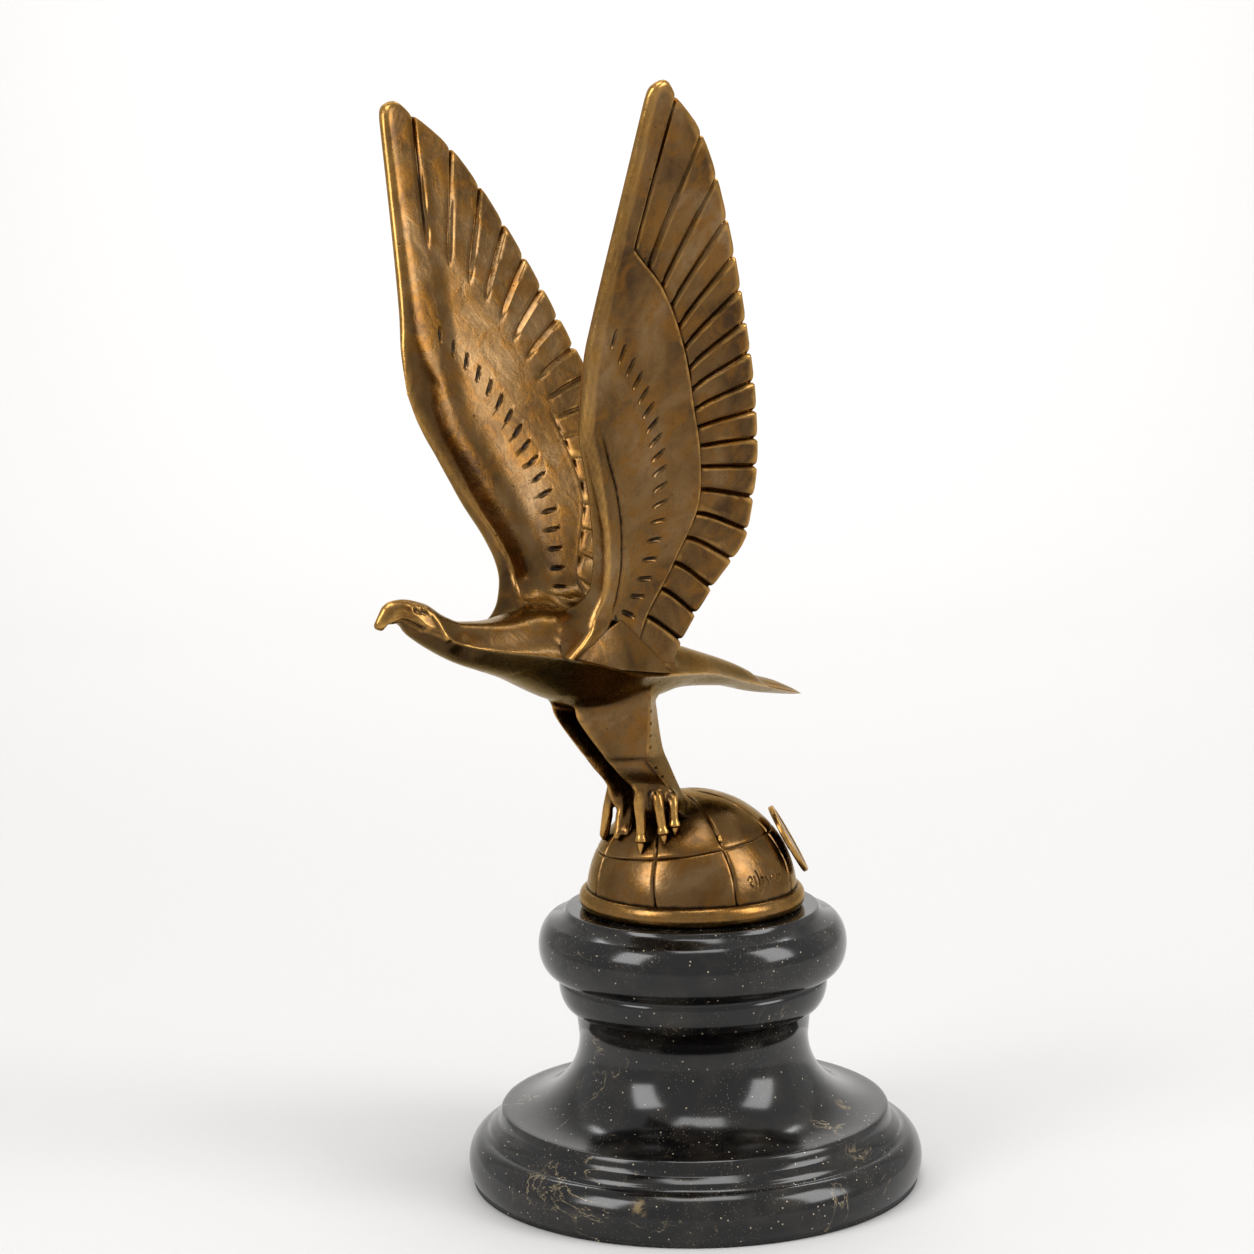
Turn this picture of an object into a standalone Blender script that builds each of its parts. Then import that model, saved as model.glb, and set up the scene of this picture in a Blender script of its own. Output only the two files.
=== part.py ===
# An eagle in bronze on a half globe, standing on a turned stone plinth.
# Metres, +Z up. The origin is the centre of the plinth's underside and the eagle faces -Y.

import math

import bmesh
import bpy
from mathutils import Quaternion, Vector

MM = 0.001

# Stone plinth, from its foot to its flat top
PLINTH_HEIGHT = 88.8 * MM
FOOT_RADIUS = 73.3 * MM
FOOT_HEIGHT = 16.0 * MM
FOOT_BEVEL = 1.6 * MM
STEP_HEIGHT = 3.4 * MM
STEP_RADIUS = 66.0 * MM
LEDGE_RADIUS = 62.3 * MM
LEDGE_HEIGHT = 4.6 * MM
WAIST_RADIUS = 36.7 * MM
WAIST_HEIGHT = 47.0 * MM
LOWER_RING_RADIUS = 43.0 * MM
LOWER_RING_HEIGHT = 10.6 * MM
RING_CREASE = 0.9 * MM
UPPER_RING_RADIUS = 49.3 * MM
UPPER_RING_HEIGHT = 19.2 * MM
TOP_RADIUS = 40.6 * MM
TOP_BAND = 2.4 * MM
TOP_EDGE = 0.6 * MM
TOP_FLARE = 0.9 * MM
RING_FILLET = 1.6 * MM
LEDGE_LIP = 1.2 * MM
LEDGE_EDGE = 1.0 * MM
LEDGE_FLARE = 0.8 * MM
FOOT_EDGE = 0.3 * MM
TORUS_ARC = (62.0, -78.0, 5)
RING_ARC = (8.0, -90.0, 3)
SKIRT_ARC = (180.0, 270.0, 6)
FOOT_ARC = (72.0, 0.0, 3)
PLINTH_SIDES = 34

# Half globe and its rim
SEAT_GAP = 0.3 * MM
RIM_RADIUS = 36.0 * MM
RIM_HEIGHT = 6.4 * MM
RIM_BULGE = 2.2 * MM
RIM_GROOVE = 1.0 * MM
RIM_ARC = (70.0, -60.0, 5)
GLOBE_RADIUS = 33.6 * MM
GLOBE_LIFT = 3.4 * MM
GLOBE_TILT = math.radians(7.0)
MERIDIANS = 8
MERIDIAN_TURN = math.radians(29.5)
PARALLEL_ANGLE = math.radians(57.0)
GLOBE_END_ANGLE = math.radians(100.0)
GLOBE_GROOVE_DEPTH = 0.6 * MM
GLOBE_GROOVE_WIDTH = 1.6 * MM
RIM_SIDES = 32

# Medallion at the back right of the globe
MEDALLION_DIAMETER = 23.6 * MM
MEDALLION_THICKNESS = 1.7 * MM
MEDALLION_BAND = 1.5 * MM
MEDALLION_RECESS = 0.35 * MM
MEDALLION_EDGE = 0.3 * MM
MEDALLION_STANDOFF = 0.9 * MM
MEDALLION_STUB = 7.0 * MM
MEDALLION_TURN = math.radians(50.0)
MEDALLION_RISE = math.radians(29.0)
MEDALLION_SIDES = 24

# Eagle. Its proportions are in units of 1/218 of its height, globe top to wing tips:
# (forward, sideways, height above the globe's top).
EAGLE_HEIGHT = 218.0 * MM
UNITS_TALL = 218.0
WING_EDGE_THICKNESS = 8.0 * MM
WING_TIP_THICKNESS = 4.2 * MM
WING_BLADE_THICKNESS = 3.4 * MM
FEATHER_RELIEF = 0.9 * MM
DASH_DEPTH = 0.8 * MM
DASH_LENGTH = 6.0 * MM
DASH_WIDTH = 1.9 * MM
DASHES = 17
COVERT_RELIEF = 0.8 * MM
TOE_THICKNESS = 4.4 * MM
CLAW_THICKNESS = 2.0 * MM

UNIT = EAGLE_HEIGHT / UNITS_TALL
SEAT_Z = PLINTH_HEIGHT + SEAT_GAP
GLOBE_CENTRE = Vector((0.0, 0.0, SEAT_Z + GLOBE_LIFT))
GLOBE_TOP_Z = GLOBE_CENTRE.z + GLOBE_RADIUS

# Body outlines from the beak to the tail, each as (forward, value)
BACK_LINE = ((119.9, 65.2), (118.2, 67.4), (115.4, 70.8), (111.0, 71.0), (104.0, 69.6), (97.0, 65.4),
             (90.0, 62.6), (78.0, 61.8), (62.0, 63.6), (48.0, 62.4), (24.0, 53.0), (2.4, 46.0),
             (-21.0, 37.0), (-23.0, 35.4), (-34.0, 31.8), (-43.5, 27.6))
SIDE_LINE = ((119.9, 64.2), (112.0, 66.0), (104.0, 62.6), (97.0, 57.6), (88.0, 55.0), (72.0, 52.3),
             (56.0, 48.0), (36.0, 42.6), (6.0, 39.4), (-14.0, 34.0), (-35.0, 28.4), (-43.5, 26.6))
BELLY_LINE = ((119.9, 63.2), (118.0, 62.6), (116.4, 64.2), (113.0, 64.2), (107.6, 59.6), (101.2, 55.4),
              (92.2, 50.6), (73.7, 43.6), (57.5, 35.8), (44.0, 31.2), (26.0, 30.6), (6.8, 33.8),
              (-9.2, 32.6), (-26.0, 28.6), (-43.5, 25.8))
HALF_WIDTH = ((119.9, 0.9), (117.0, 2.2), (112.0, 3.8), (107.0, 6.2), (100.0, 7.9), (95.0, 8.4),
              (88.0, 12.3), (72.0, 22.5), (62.0, 25.2), (46.0, 24.8), (26.0, 19.8), (0.0, 15.4),
              (-21.0, 12.8), (-36.0, 10.5), (-41.0, 8.5), (-43.5, 5.5))
SIDE_EDGE = ((119.9, 0.0), (104.0, 0.05), (94.0, 0.34), (80.0, 0.48), (40.0, 0.4), (0.0, 0.45),
             (-43.5, 0.4))
BODY_STATIONS = 29
BODY_SIDES = 16

# Wing lines in the wing's plane, each as (feather number, forward, height); the last is inside the body
FEATHERS = 19
EDGE_LINE = ((0, 72.6, 128.0), (2, 71.6, 119.0), (6, 67.0, 107.5), (10, 61.5, 95.0), (14, 57.2, 82.0),
             (17, 55.8, 71.5), (19, 60.0, 60.2), (20, 69.5, 52.0))
ARM_LINE = ((0, 73.0, 140.0), (2, 67.3, 124.5), (6, 60.6, 111.0), (10, 54.6, 99.5), (14, 50.3, 86.0),
            (17, 48.6, 73.5), (19, 49.0, 61.0), (20, 66.0, 50.5))
DASH_LINE = ((0, 72.0, 152.0), (1, 65.6, 145.5), (4, 53.2, 133.0), (7, 44.6, 119.5), (10, 38.7, 105.5),
             (13, 35.8, 90.0), (16, 37.2, 72.5), (19, 43.5, 55.5), (20, 44.5, 45.0))
COVERT_LINE = ((0, 70.2, 176.0), (1, 63.2, 170.5), (3, 49.8, 159.6), (6, 37.3, 141.5),
               (9, 29.0, 123.0), (11.5, 23.4, 109.0), (13.5, 20.7, 95.0), (16, 26.7, 76.5),
               (19, 36.8, 52.0), (20, 38.0, 42.0))
FEATHER_TIPS = ((0, 67.6, 212.5), (0.12, 66.4, 215.6), (0.42, 62.8, 217.4), (1, 57.7, 213.6),
                (2, 45.3, 203.5), (4, 29.8, 179.8), (7, 15.0, 149.6), (10, 4.0, 122.3),
                (12.5, -1.2, 100.0), (14, -1.8, 84.5), (16, 8.9, 67.0), (18, 17.6, 51.0),
                (19, 20.5, 41.0), (20, 25.0, 36.0))
WING_ROOT_HEIGHT = 64.0
WING_ROOT_OFFSET = 20.5
WING_LEAN = 0.282
WING_CAMBER = 1.8
ROOT_FILLET = 9.0
ROOT_FLARE = 6.5
ROOT_FLARE_DROP = 14.0
ROOT_SINK = 6.0
BAND_EDGE = 0.3
BAND_TOP = 88.0
BAR_FOOT = 118.0
RIGHT_EDGE_REACH = ((0, 6.4), (3, 4.8), (9, 4.6), (17, 0.0), (20, 0.0))

# Shoulder facets: each point as (forward, sideways, height)
SHOULDER = ((67.5, 23.6, 51.4), (48.0, 24.9, 46.0), (46.5, 22.6, 61.0), (37.0, 20.6, 54.0),
            (23.0, 18.6, 41.6), (62.0, 10.0, 55.0), (30.0, 10.0, 46.0), (50.0, 12.0, 40.0))

# Legs and feet, each station as (height, front, front side, back, back side, rear)
LEG_STATIONS = ((44.0, 57.0, 5.5, 28.5, 15.0, 20.5), (31.0, 51.6, 5.5, 28.8, 14.6, 19.2),
                (17.0, 40.8, 5.5, 29.2, 14.0, 16.8), (11.0, 35.4, 5.8, 25.8, 13.3, 14.0),
                (4.0, 29.2, 6.4, 18.6, 12.2, 10.4), (-2.0, 27.4, 6.8, 17.0, 12.8, 7.0),
                (-6.0, 19.0, 6.4, 13.0, 13.2, 4.0), (-14.0, 15.0, 6.0, 8.0, 14.0, 2.0))
LEG_INNER = 4.6
LEG_BULGE = 1.3
# Toes of each foot: root, bend as (forward, sideways, height), and the end's angles on the globe
LEFT_TOES = (((27.2, 7.3, 6.5), (26.4, 7.0, -3.8), (57.5, 15.6)),
             ((22.8, 9.2, 5.0), (24.0, 12.8, -1.4), (50.9, 30.6)),
             ((17.0, 9.8, 3.0), (20.2, 14.6, 0.0), (45.5, 37.0)))
RIGHT_TOES = (((25.0, 8.0, 7.0), (26.5, 9.9, -6.6), (56.0, 30.0)),
              ((21.8, 7.6, 6.5), (24.3, 4.9, -6.3), (53.2, 9.8)),
              ((19.4, 7.2, 6.0), (20.5, 3.4, -6.6), (49.9, 4.5)))
LEFT_TOE_PROFILE = ((0.0, 0.55), (0.2, 0.8), (0.4, 0.72), (0.6, 0.6), (0.74, 0.64), (0.82, 0.84),
                    (0.86, 0.46), (1.0, 0.16))
RIGHT_TOE_PROFILE = ((0.0, 0.6), (0.3, 0.66), (0.75, 0.66), (0.92, 0.62), (1.0, 0.4))
TOE_SIDES = 6
TOE_STEPS = 6
EYE = (107.6, 5.2, 67.9)
EYE_SIZE = 1.5


def smooth_value(points, x):
    """Value at x of a smooth curve through points of (position, value)."""
    pts = sorted(points)
    xs = [p[0] for p in pts]
    x = min(max(x, xs[0]), xs[-1])
    k = max(i for i in range(len(xs) - 1) if xs[i] <= x)
    span = xs[k + 1] - xs[k]

    def slope(i):
        if i == 0 or i == len(xs) - 1:
            a, b = (0, 1) if i == 0 else (i - 1, i)
            return (pts[b][1] - pts[a][1]) / (xs[b] - xs[a])
        left = (pts[i][1] - pts[i - 1][1]) / (xs[i] - xs[i - 1])
        right = (pts[i + 1][1] - pts[i][1]) / (xs[i + 1] - xs[i])
        if left * right <= 0.0:
            return 0.0
        return 2.0 * left * right / (left + right)

    t = (x - xs[k]) / span
    h00 = 2 * t ** 3 - 3 * t ** 2 + 1
    h01 = 1 - h00
    h10 = t ** 3 - 2 * t ** 2 + t
    h11 = t ** 3 - t ** 2
    return h00 * pts[k][1] + h01 * pts[k + 1][1] + span * (h10 * slope(k) + h11 * slope(k + 1))


def smooth_point(line, u):
    """(forward, height) at feather number u of a wing line."""
    forward = smooth_value([(p[0], p[1]) for p in line], u)
    height = smooth_value([(p[0], p[2]) for p in line], u)
    return forward, height


def eagle_point(forward, side, height):
    """A point of the eagle, from its own units to the part's frame."""
    return Vector((side * UNIT, -forward * UNIT, GLOBE_TOP_Z + height * UNIT))


def arc(centre_r, centre_z, radius_r, radius_z, start, end, count):
    """Points of an elliptical arc in a turned profile, angles in degrees from outward."""
    points = []
    for i in range(count + 1):
        a = math.radians(start + (end - start) * i / count)
        points.append((centre_r + radius_r * math.cos(a), centre_z + radius_z * math.sin(a)))
    return points


def collection(name):
    made = bpy.data.collections.new(name)
    bpy.context.scene.collection.children.link(made)
    return made


def material(name, colour, roughness, metallic):
    made = bpy.data.materials.new(name)
    made.use_nodes = True
    shader = made.node_tree.nodes["Principled BSDF"]
    shader.inputs["Base Color"].default_value = (*colour, 1.0)
    shader.inputs["Roughness"].default_value = roughness
    shader.inputs["Metallic"].default_value = metallic
    return made


def new_object(name, mesh_builder, where):
    mesh = bpy.data.meshes.new(name)
    mesh_builder.to_mesh(mesh)
    mesh_builder.free()
    made = bpy.data.objects.new(name, mesh)
    where.objects.link(made)
    return made


def turned(name, profile, sides, where):
    """A turned solid: profile runs from the top of the axis down the outer side to the bottom."""
    bm = bmesh.new()
    verts = [bm.verts.new((r, 0.0, z)) for r, z in profile]
    for a, b in zip(verts, verts[1:]):
        bm.edges.new((a, b))
    made = new_object(name, bm, where)
    screw = made.modifiers.new("turn", "SCREW")
    screw.steps = sides
    screw.render_steps = sides
    screw.use_merge_vertices = True
    screw.merge_threshold = 0.00001
    return made


def bake(obj):
    """Replace an object's mesh by the one its modifiers give, and drop the modifiers."""
    depsgraph = bpy.context.evaluated_depsgraph_get()
    mesh = bpy.data.meshes.new_from_object(obj.evaluated_get(depsgraph))
    obj.modifiers.clear()
    obj.data = mesh


def loft(name, rings, where):
    """A closed solid through rings of equal point counts, with fanned ends."""
    bm = bmesh.new()
    loops = [[bm.verts.new(p) for p in ring] for ring in rings]
    count = len(rings[0])
    for low, high in zip(loops, loops[1:]):
        for k in range(count):
            n = (k + 1) % count
            bm.faces.new((low[k], low[n], high[n], high[k]))
    for loop, flip in ((loops[0], True), (loops[-1], False)):
        middle = bm.verts.new(sum((v.co for v in loop), Vector()) / count)
        for k in range(count):
            n = (k + 1) % count
            bm.faces.new((loop[n], loop[k], middle) if flip else (loop[k], loop[n], middle))
    bmesh.ops.remove_doubles(bm, verts=bm.verts, dist=0.00001)
    bmesh.ops.recalc_face_normals(bm, faces=bm.faces)
    return new_object(name, bm, where)


def join_solids(target, others):
    """Boolean union of solids into one body."""
    for other in others:
        union = target.modifiers.new("join", "BOOLEAN")
        union.operation = "UNION"
        union.solver = "EXACT"
        union.object = other
        bake(target)
        bpy.data.objects.remove(other)


def fill_pockets(obj):
    """Keep only an object's outer skin, so that a pocket closed in by the joining becomes solid."""
    bm = bmesh.new()
    bm.from_mesh(obj.data)
    left = set(bm.faces)
    skins = []
    while left:
        skin = []
        front = [left.pop()]
        while front:
            face = front.pop()
            skin.append(face)
            for edge in face.edges:
                for other in edge.link_faces:
                    if other in left:
                        left.remove(other)
                        front.append(other)
        skins.append(skin)
    skins.sort(key=len)
    for skin in skins[:-1]:
        bmesh.ops.delete(bm, geom=skin, context="FACES")
    bm.to_mesh(obj.data)
    bm.free()


def plinth_profile():
    """The stone's turned profile, from the middle of its top down to its underside."""
    ledge_z = FOOT_HEIGHT + STEP_HEIGHT + LEDGE_HEIGHT
    ring_low = PLINTH_HEIGHT - TOP_BAND - UPPER_RING_HEIGHT - RING_CREASE
    torus_half = 0.5 * UPPER_RING_HEIGHT
    torus_z = ring_low + RING_CREASE + torus_half
    torus_depth = UPPER_RING_RADIUS - LOWER_RING_RADIUS
    profile = [(0.0, PLINTH_HEIGHT), (TOP_RADIUS - TOP_EDGE, PLINTH_HEIGHT)]
    profile += [(TOP_RADIUS, PLINTH_HEIGHT - TOP_EDGE), (TOP_RADIUS + TOP_FLARE, PLINTH_HEIGHT - TOP_BAND)]
    profile += arc(UPPER_RING_RADIUS - torus_depth, torus_z, torus_depth, torus_half, *TORUS_ARC)
    profile += [(LOWER_RING_RADIUS - RING_CREASE, ring_low + 0.5 * RING_CREASE)]
    neck = WAIST_RADIUS + RING_CREASE
    ring_depth = LOWER_RING_RADIUS - neck
    profile += arc(neck, ring_low - RING_FILLET, ring_depth, LOWER_RING_HEIGHT - RING_FILLET, *RING_ARC)
    skirt = LEDGE_RADIUS - LEDGE_LIP
    profile += arc(skirt, WAIST_HEIGHT, skirt - WAIST_RADIUS, WAIST_HEIGHT - ledge_z, *SKIRT_ARC)
    profile += [(LEDGE_RADIUS, ledge_z - LEDGE_EDGE), (LEDGE_RADIUS + LEDGE_FLARE, ledge_z - LEDGE_HEIGHT)]
    profile += [(STEP_RADIUS, FOOT_HEIGHT + 0.55 * STEP_HEIGHT), (STEP_RADIUS + LEDGE_FLARE, FOOT_HEIGHT)]
    foot_depth = FOOT_RADIUS - STEP_RADIUS - LEDGE_FLARE
    profile += arc(FOOT_RADIUS - foot_depth, 0.44 * FOOT_HEIGHT, foot_depth, 0.56 * FOOT_HEIGHT, *FOOT_ARC)
    profile += [(FOOT_RADIUS - FOOT_EDGE, FOOT_BEVEL), (FOOT_RADIUS - FOOT_BEVEL, 0.0), (0.0, 0.0)]
    return profile


def build_plinth(where):
    made = turned("marble_plinth", plinth_profile(), PLINTH_SIDES, where)
    made.data.materials.append(material("polished_black_marble", (0.022, 0.021, 0.02), 0.16, 0.0))
    return made


def rim_profile():
    """The globe's rounded rim, with the groove that parts it from the globe."""
    middle = SEAT_Z + 0.45 * RIM_HEIGHT
    inner = RIM_RADIUS - RIM_BULGE
    profile = [(0.0, SEAT_Z + RIM_HEIGHT), (GLOBE_RADIUS - RIM_GROOVE, SEAT_Z + RIM_HEIGHT)]
    profile += [(inner, SEAT_Z + RIM_HEIGHT)]
    profile += arc(inner, middle, RIM_BULGE, 0.45 * RIM_HEIGHT, *RIM_ARC)
    profile += [(inner, SEAT_Z), (0.0, SEAT_Z)]
    return profile


def globe_rings():
    """Polar angles of the globe's rings, with three of them across the parallel's groove."""
    groove = 0.5 * GLOBE_GROOVE_WIDTH / GLOBE_RADIUS
    upper = [PARALLEL_ANGLE * k / 4.0 for k in range(1, 4)]
    across = [PARALLEL_ANGLE - groove, PARALLEL_ANGLE, PARALLEL_ANGLE + groove]
    lower = [PARALLEL_ANGLE + (GLOBE_END_ANGLE - PARALLEL_ANGLE) * k / 4.0 for k in range(1, 5)]
    return upper + across + lower


def build_globe(where):
    """A globe with sunk meridians and one parallel, its pole tilted; its lower part is in the rim."""
    groove = 0.5 * GLOBE_GROOVE_WIDTH / GLOBE_RADIUS
    turns = []
    for k in range(MERIDIANS):
        base = MERIDIAN_TURN + 2.0 * math.pi * k / MERIDIANS
        half = math.pi / MERIDIANS
        turns += [(base - groove, False), (base, True), (base + groove, False), (base + half, False)]
    tilt_axis = Vector((math.cos(MEDALLION_TURN), math.sin(MEDALLION_TURN), 0.0)).cross((0, 0, 1))
    floor_z = SEAT_Z + 0.3 * RIM_HEIGHT
    rings = []
    for polar in globe_rings():
        ring = []
        for turn, on_meridian in turns:
            sunk = on_meridian or polar == PARALLEL_ANGLE
            radius = GLOBE_RADIUS - (GLOBE_GROOVE_DEPTH if sunk else 0.0)
            reach = math.sin(polar)
            point = Vector((reach * math.cos(turn), reach * math.sin(turn), math.cos(polar)))
            point.rotate(Quaternion(tilt_axis, GLOBE_TILT))
            point = GLOBE_CENTRE + radius * point
            point.z = max(point.z, floor_z)
            ring.append(point)
        rings.append(ring)
    return loft("globe", rings, where)


def turned_rim(where):
    return turned("rim", rim_profile(), RIM_SIDES, where)


def quarter(start, lean_a, lean_b, end, count):
    """Points of a cubic curve from start, without its end."""
    points = []
    for i in range(count):
        t = i / count
        a, b, c, d = (1 - t) ** 3, 3 * t * (1 - t) ** 2, 3 * t * t * (1 - t), t ** 3
        axes = zip(start, lean_a, lean_b, end)
        points.append(tuple(a * p + b * q + c * r + d * w for p, q, r, w in axes))
    return points


def body_ring(forward):
    """The body's section at a station: rounded back, sharp side ridges, keeled belly."""
    top = smooth_value(BACK_LINE, forward)
    side = smooth_value(SIDE_LINE, forward)
    low = smooth_value(BELLY_LINE, forward)
    wide = smooth_value(HALF_WIDTH, forward)
    edge = smooth_value(SIDE_EDGE, forward)
    count = BODY_SIDES // 4
    over = (wide * (1 - edge), side + (0.55 - 0.3 * edge) * (top - side))
    under = (wide * (1 - edge), side - 0.5 * (side - low))
    upper = quarter((0.0, top), (0.58 * wide, top), over, (wide, side), count)
    lower = quarter((wide, side), under, (0.42 * wide, low), (0.0, low), count)
    half = upper + lower
    other = [(-x, z) for x, z in reversed(half[1:])]
    return [eagle_point(forward, x, z) for x, z in half + [(0.0, low)] + other]


def build_body(where):
    first = BACK_LINE[0][0]
    last = BACK_LINE[-1][0]
    rings = []
    for i in range(BODY_STATIONS + 1):
        share = (i / BODY_STATIONS) ** 1.6
        rings.append(body_ring(first + (last - first) * share))
    return loft("body", rings, where)


def fan_point(u, v):
    """(forward, height) on the wing: u counts feathers from the tip, v runs from edge to feather tips."""
    rows = [smooth_point(line, u) for line in (EDGE_LINE, ARM_LINE, DASH_LINE, COVERT_LINE, FEATHER_TIPS)]
    forward = smooth_value([(k, row[0]) for k, row in enumerate(rows)], v)
    height = smooth_value([(k, row[1]) for k, row in enumerate(rows)], v)
    return forward, height


def nearest(point, line):
    """Distance in eagle units from a point to a chain of points."""
    best = 1e9
    for a, b in zip(line, line[1:]):
        dx, dy = b[0] - a[0], b[1] - a[1]
        t = ((point[0] - a[0]) * dx + (point[1] - a[1]) * dy) / (dx * dx + dy * dy)
        t = min(max(t, 0.0), 1.0)
        best = min(best, math.hypot(point[0] - a[0] - t * dx, point[1] - a[1] - t * dy))
    return best


def rounded(distance, radius):
    """Share of full thickness at a distance inside a half-round edge."""
    x = min(distance / radius, 1.0)
    return math.sqrt(max(0.0, 1.0 - (1.0 - x) ** 2))


def smooth_step(x, low, high):
    t = min(max((x - low) / (high - low), 0.0), 1.0)
    return t * t * (3.0 - 2.0 * t)


def half_thickness(point, front_edge, feather_edge):
    """Half the wing's thickness: a bar in front, flat towards the body, thinning to a blade."""
    share = smooth_step(point[1], WING_ROOT_HEIGHT, EDGE_LINE[0][2])
    upward = smooth_step(point[1], EDGE_LINE[0][2], FEATHER_TIPS[0][2])
    bar = WING_EDGE_THICKNESS * (1.0 - 0.2 * share) * (1.0 - upward) + WING_TIP_THICKNESS * upward
    bar = 0.5 * bar / UNIT
    blade = 0.5 * WING_BLADE_THICKNESS / UNIT
    front = nearest(point, front_edge)
    behind = smooth_step(front, bar, bar + 11.0)
    full = bar * (1.0 - behind) + min(blade, bar) * behind
    turn = bar * (BAND_EDGE + (1.0 - BAND_EDGE) * smooth_step(point[1], BAND_TOP, BAR_FOOT))
    return full * rounded(front, turn) * rounded(nearest(point, feather_edge), 0.8 * blade)


def root_flare(height, v):
    """How far a wing's outer face swells towards the shoulder."""
    return ROOT_FLARE * smooth_step(WING_ROOT_HEIGHT - height, 0.0, ROOT_FLARE_DROP) * (1.0 - 0.25 * v)


def wing_rows(mark):
    return (0.0, 0.12, 0.45, 1.0, 2.0, 3.0 - mark, 3.0 + mark, 3.95, 4.0)


def wing_columns(mark):
    columns = [0.0, 0.12, 0.42]
    for k in range(1, FEATHERS):
        columns += [k, k + mark]
    return columns + [FEATHERS, FEATHERS + 1]


def wing_relief(u, v, outer, mark):
    """Height added to a wing surface: grooves between feathers and the step at the coverts."""
    groove = 1.0 - min(abs(u - round(u)) / mark, 1.0) if 0.5 < u < FEATHERS - 0.5 else 0.0
    beyond = 1.0 if v > 3.0 + 0.5 * mark else 0.0
    height = -FEATHER_RELIEF * groove * beyond
    if outer:
        height -= COVERT_RELIEF * beyond * smooth_step(u, 0.5, 1.5)
    return height / UNIT


def right_edge_reach(u, v):
    """How far the right wing's front edge stands ahead of the left one's."""
    share = max(1.0 - v, (1.0 - u) * (1.0 - 0.7 * (v / 4.0) ** 2), 0.0)
    return smooth_value(RIGHT_EDGE_REACH, u) * share


def build_wing(name, side, where):
    """One wing: an outer and an inner sheet over the same fan, joined round their edges."""
    mark = 0.2
    columns = wing_columns(mark)
    rows = wing_rows(mark)
    front_edge = [fan_point(u, 0.0) for u in reversed(columns)] + [fan_point(0.0, v) for v in rows[1:]]
    feather_edge = [fan_point(u, 4.0) for u in columns[1:]]
    bm = bmesh.new()
    sheets = []
    for outer in (True, False):
        grid = []
        for u in columns:
            line = []
            for v in rows:
                forward, height = fan_point(u, v)
                thick = half_thickness((forward, height), front_edge, feather_edge)
                if side < 0.0:
                    forward += right_edge_reach(u, v)
                level = WING_ROOT_OFFSET + WING_LEAN * (height - WING_ROOT_HEIGHT)
                level -= WING_CAMBER * math.sin(math.pi * v / 4.0)
                if thick > 0.05:
                    thick += wing_relief(u, v, outer, mark)
                fillet = 0.0
                if not outer and thick > 0.05:
                    drop = min(max((WING_ROOT_HEIGHT + ROOT_FILLET - height) / ROOT_FILLET, 0.0), 1.0)
                    fillet = ROOT_FILLET * (1.0 - math.sqrt(1.0 - drop * drop))
                flare = root_flare(height, v)
                if u > FEATHERS:
                    flare -= ROOT_SINK * smooth_step(v, 0.6, 2.0)
                offset = level + thick + flare if outer or v in (0.0, 4.0) else level - thick - fillet
                line.append(bm.verts.new(eagle_point(forward, side * offset, height)))
            grid.append(line)
        sheets.append(grid)
    for grid in sheets:
        for a, b in zip(grid, grid[1:]):
            for k in range(len(rows) - 1):
                bm.faces.new((a[k], b[k], b[k + 1], a[k + 1]))
    outer_end, inner_end = sheets[0][-1], sheets[1][-1]
    for k in range(len(rows) - 1):
        bm.faces.new((outer_end[k], inner_end[k], inner_end[k + 1], outer_end[k + 1]))
    bmesh.ops.remove_doubles(bm, verts=bm.verts, dist=0.02 * MM)
    bmesh.ops.dissolve_degenerate(bm, edges=bm.edges, dist=0.02 * MM)
    bmesh.ops.recalc_face_normals(bm, faces=bm.faces)
    return new_object(name, bm, where)


def wing_surface(u, v, side, outer):
    """A point of the wing's surface without its feathers, and the level of the wing there."""
    forward, height = fan_point(u, v)
    level = WING_ROOT_OFFSET + WING_LEAN * (height - WING_ROOT_HEIGHT)
    level -= WING_CAMBER * math.sin(math.pi * v / 4.0)
    front_edge = [fan_point(k, 0.0) for k in range(FEATHERS, -1, -1)]
    front_edge += [fan_point(0.0, 0.5 * k) for k in range(1, 9)]
    thick = half_thickness((forward, height), front_edge, [fan_point(k, 4.0) for k in range(FEATHERS)])
    offset = level + thick + root_flare(height, v) if outer else level - thick
    return eagle_point(forward, side * offset, height)


def build_dash_cutters(name, side, outer, where):
    """The row of short cuts along each face of a wing, pointed at both ends."""
    bm = bmesh.new()
    for k in range(DASHES):
        u = 1.0 + (FEATHERS - 2.2) * k / (DASHES - 1)
        middle = wing_surface(u, 2.0, side, outer)
        run = (wing_surface(u, 2.15, side, outer) - middle).normalized()
        normal = Vector((side if outer else -side, 0.0, 0.0))
        normal = (normal - run * normal.dot(run)).normalized()
        across = run.cross(normal)
        ahead = run * 0.5 * DASH_LENGTH
        beside = across * 0.5 * DASH_WIDTH
        plan = (ahead, beside, -ahead, -beside)
        upper = [bm.verts.new(middle + p * 1.6 + normal * 0.6 * DASH_DEPTH) for p in plan]
        deep = bm.verts.new(middle - normal * DASH_DEPTH)
        bm.faces.new(upper)
        for a in range(4):
            bm.faces.new((upper[a], upper[(a + 1) % 4], deep))
    bmesh.ops.recalc_face_normals(bm, faces=bm.faces)
    made = new_object(name, bm, where)
    made.hide_render = True
    made.display_type = "WIRE"
    return made


def build_shoulder(name, side, where):
    """The flat facets between the body's side ridge and the wing."""
    bm = bmesh.new()
    for forward, sideways, height in SHOULDER:
        bm.verts.new(eagle_point(forward, side * sideways, height))
    bmesh.ops.convex_hull(bm, input=bm.verts)
    bmesh.ops.recalc_face_normals(bm, faces=bm.faces)
    return new_object(name, bm, where)


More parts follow.
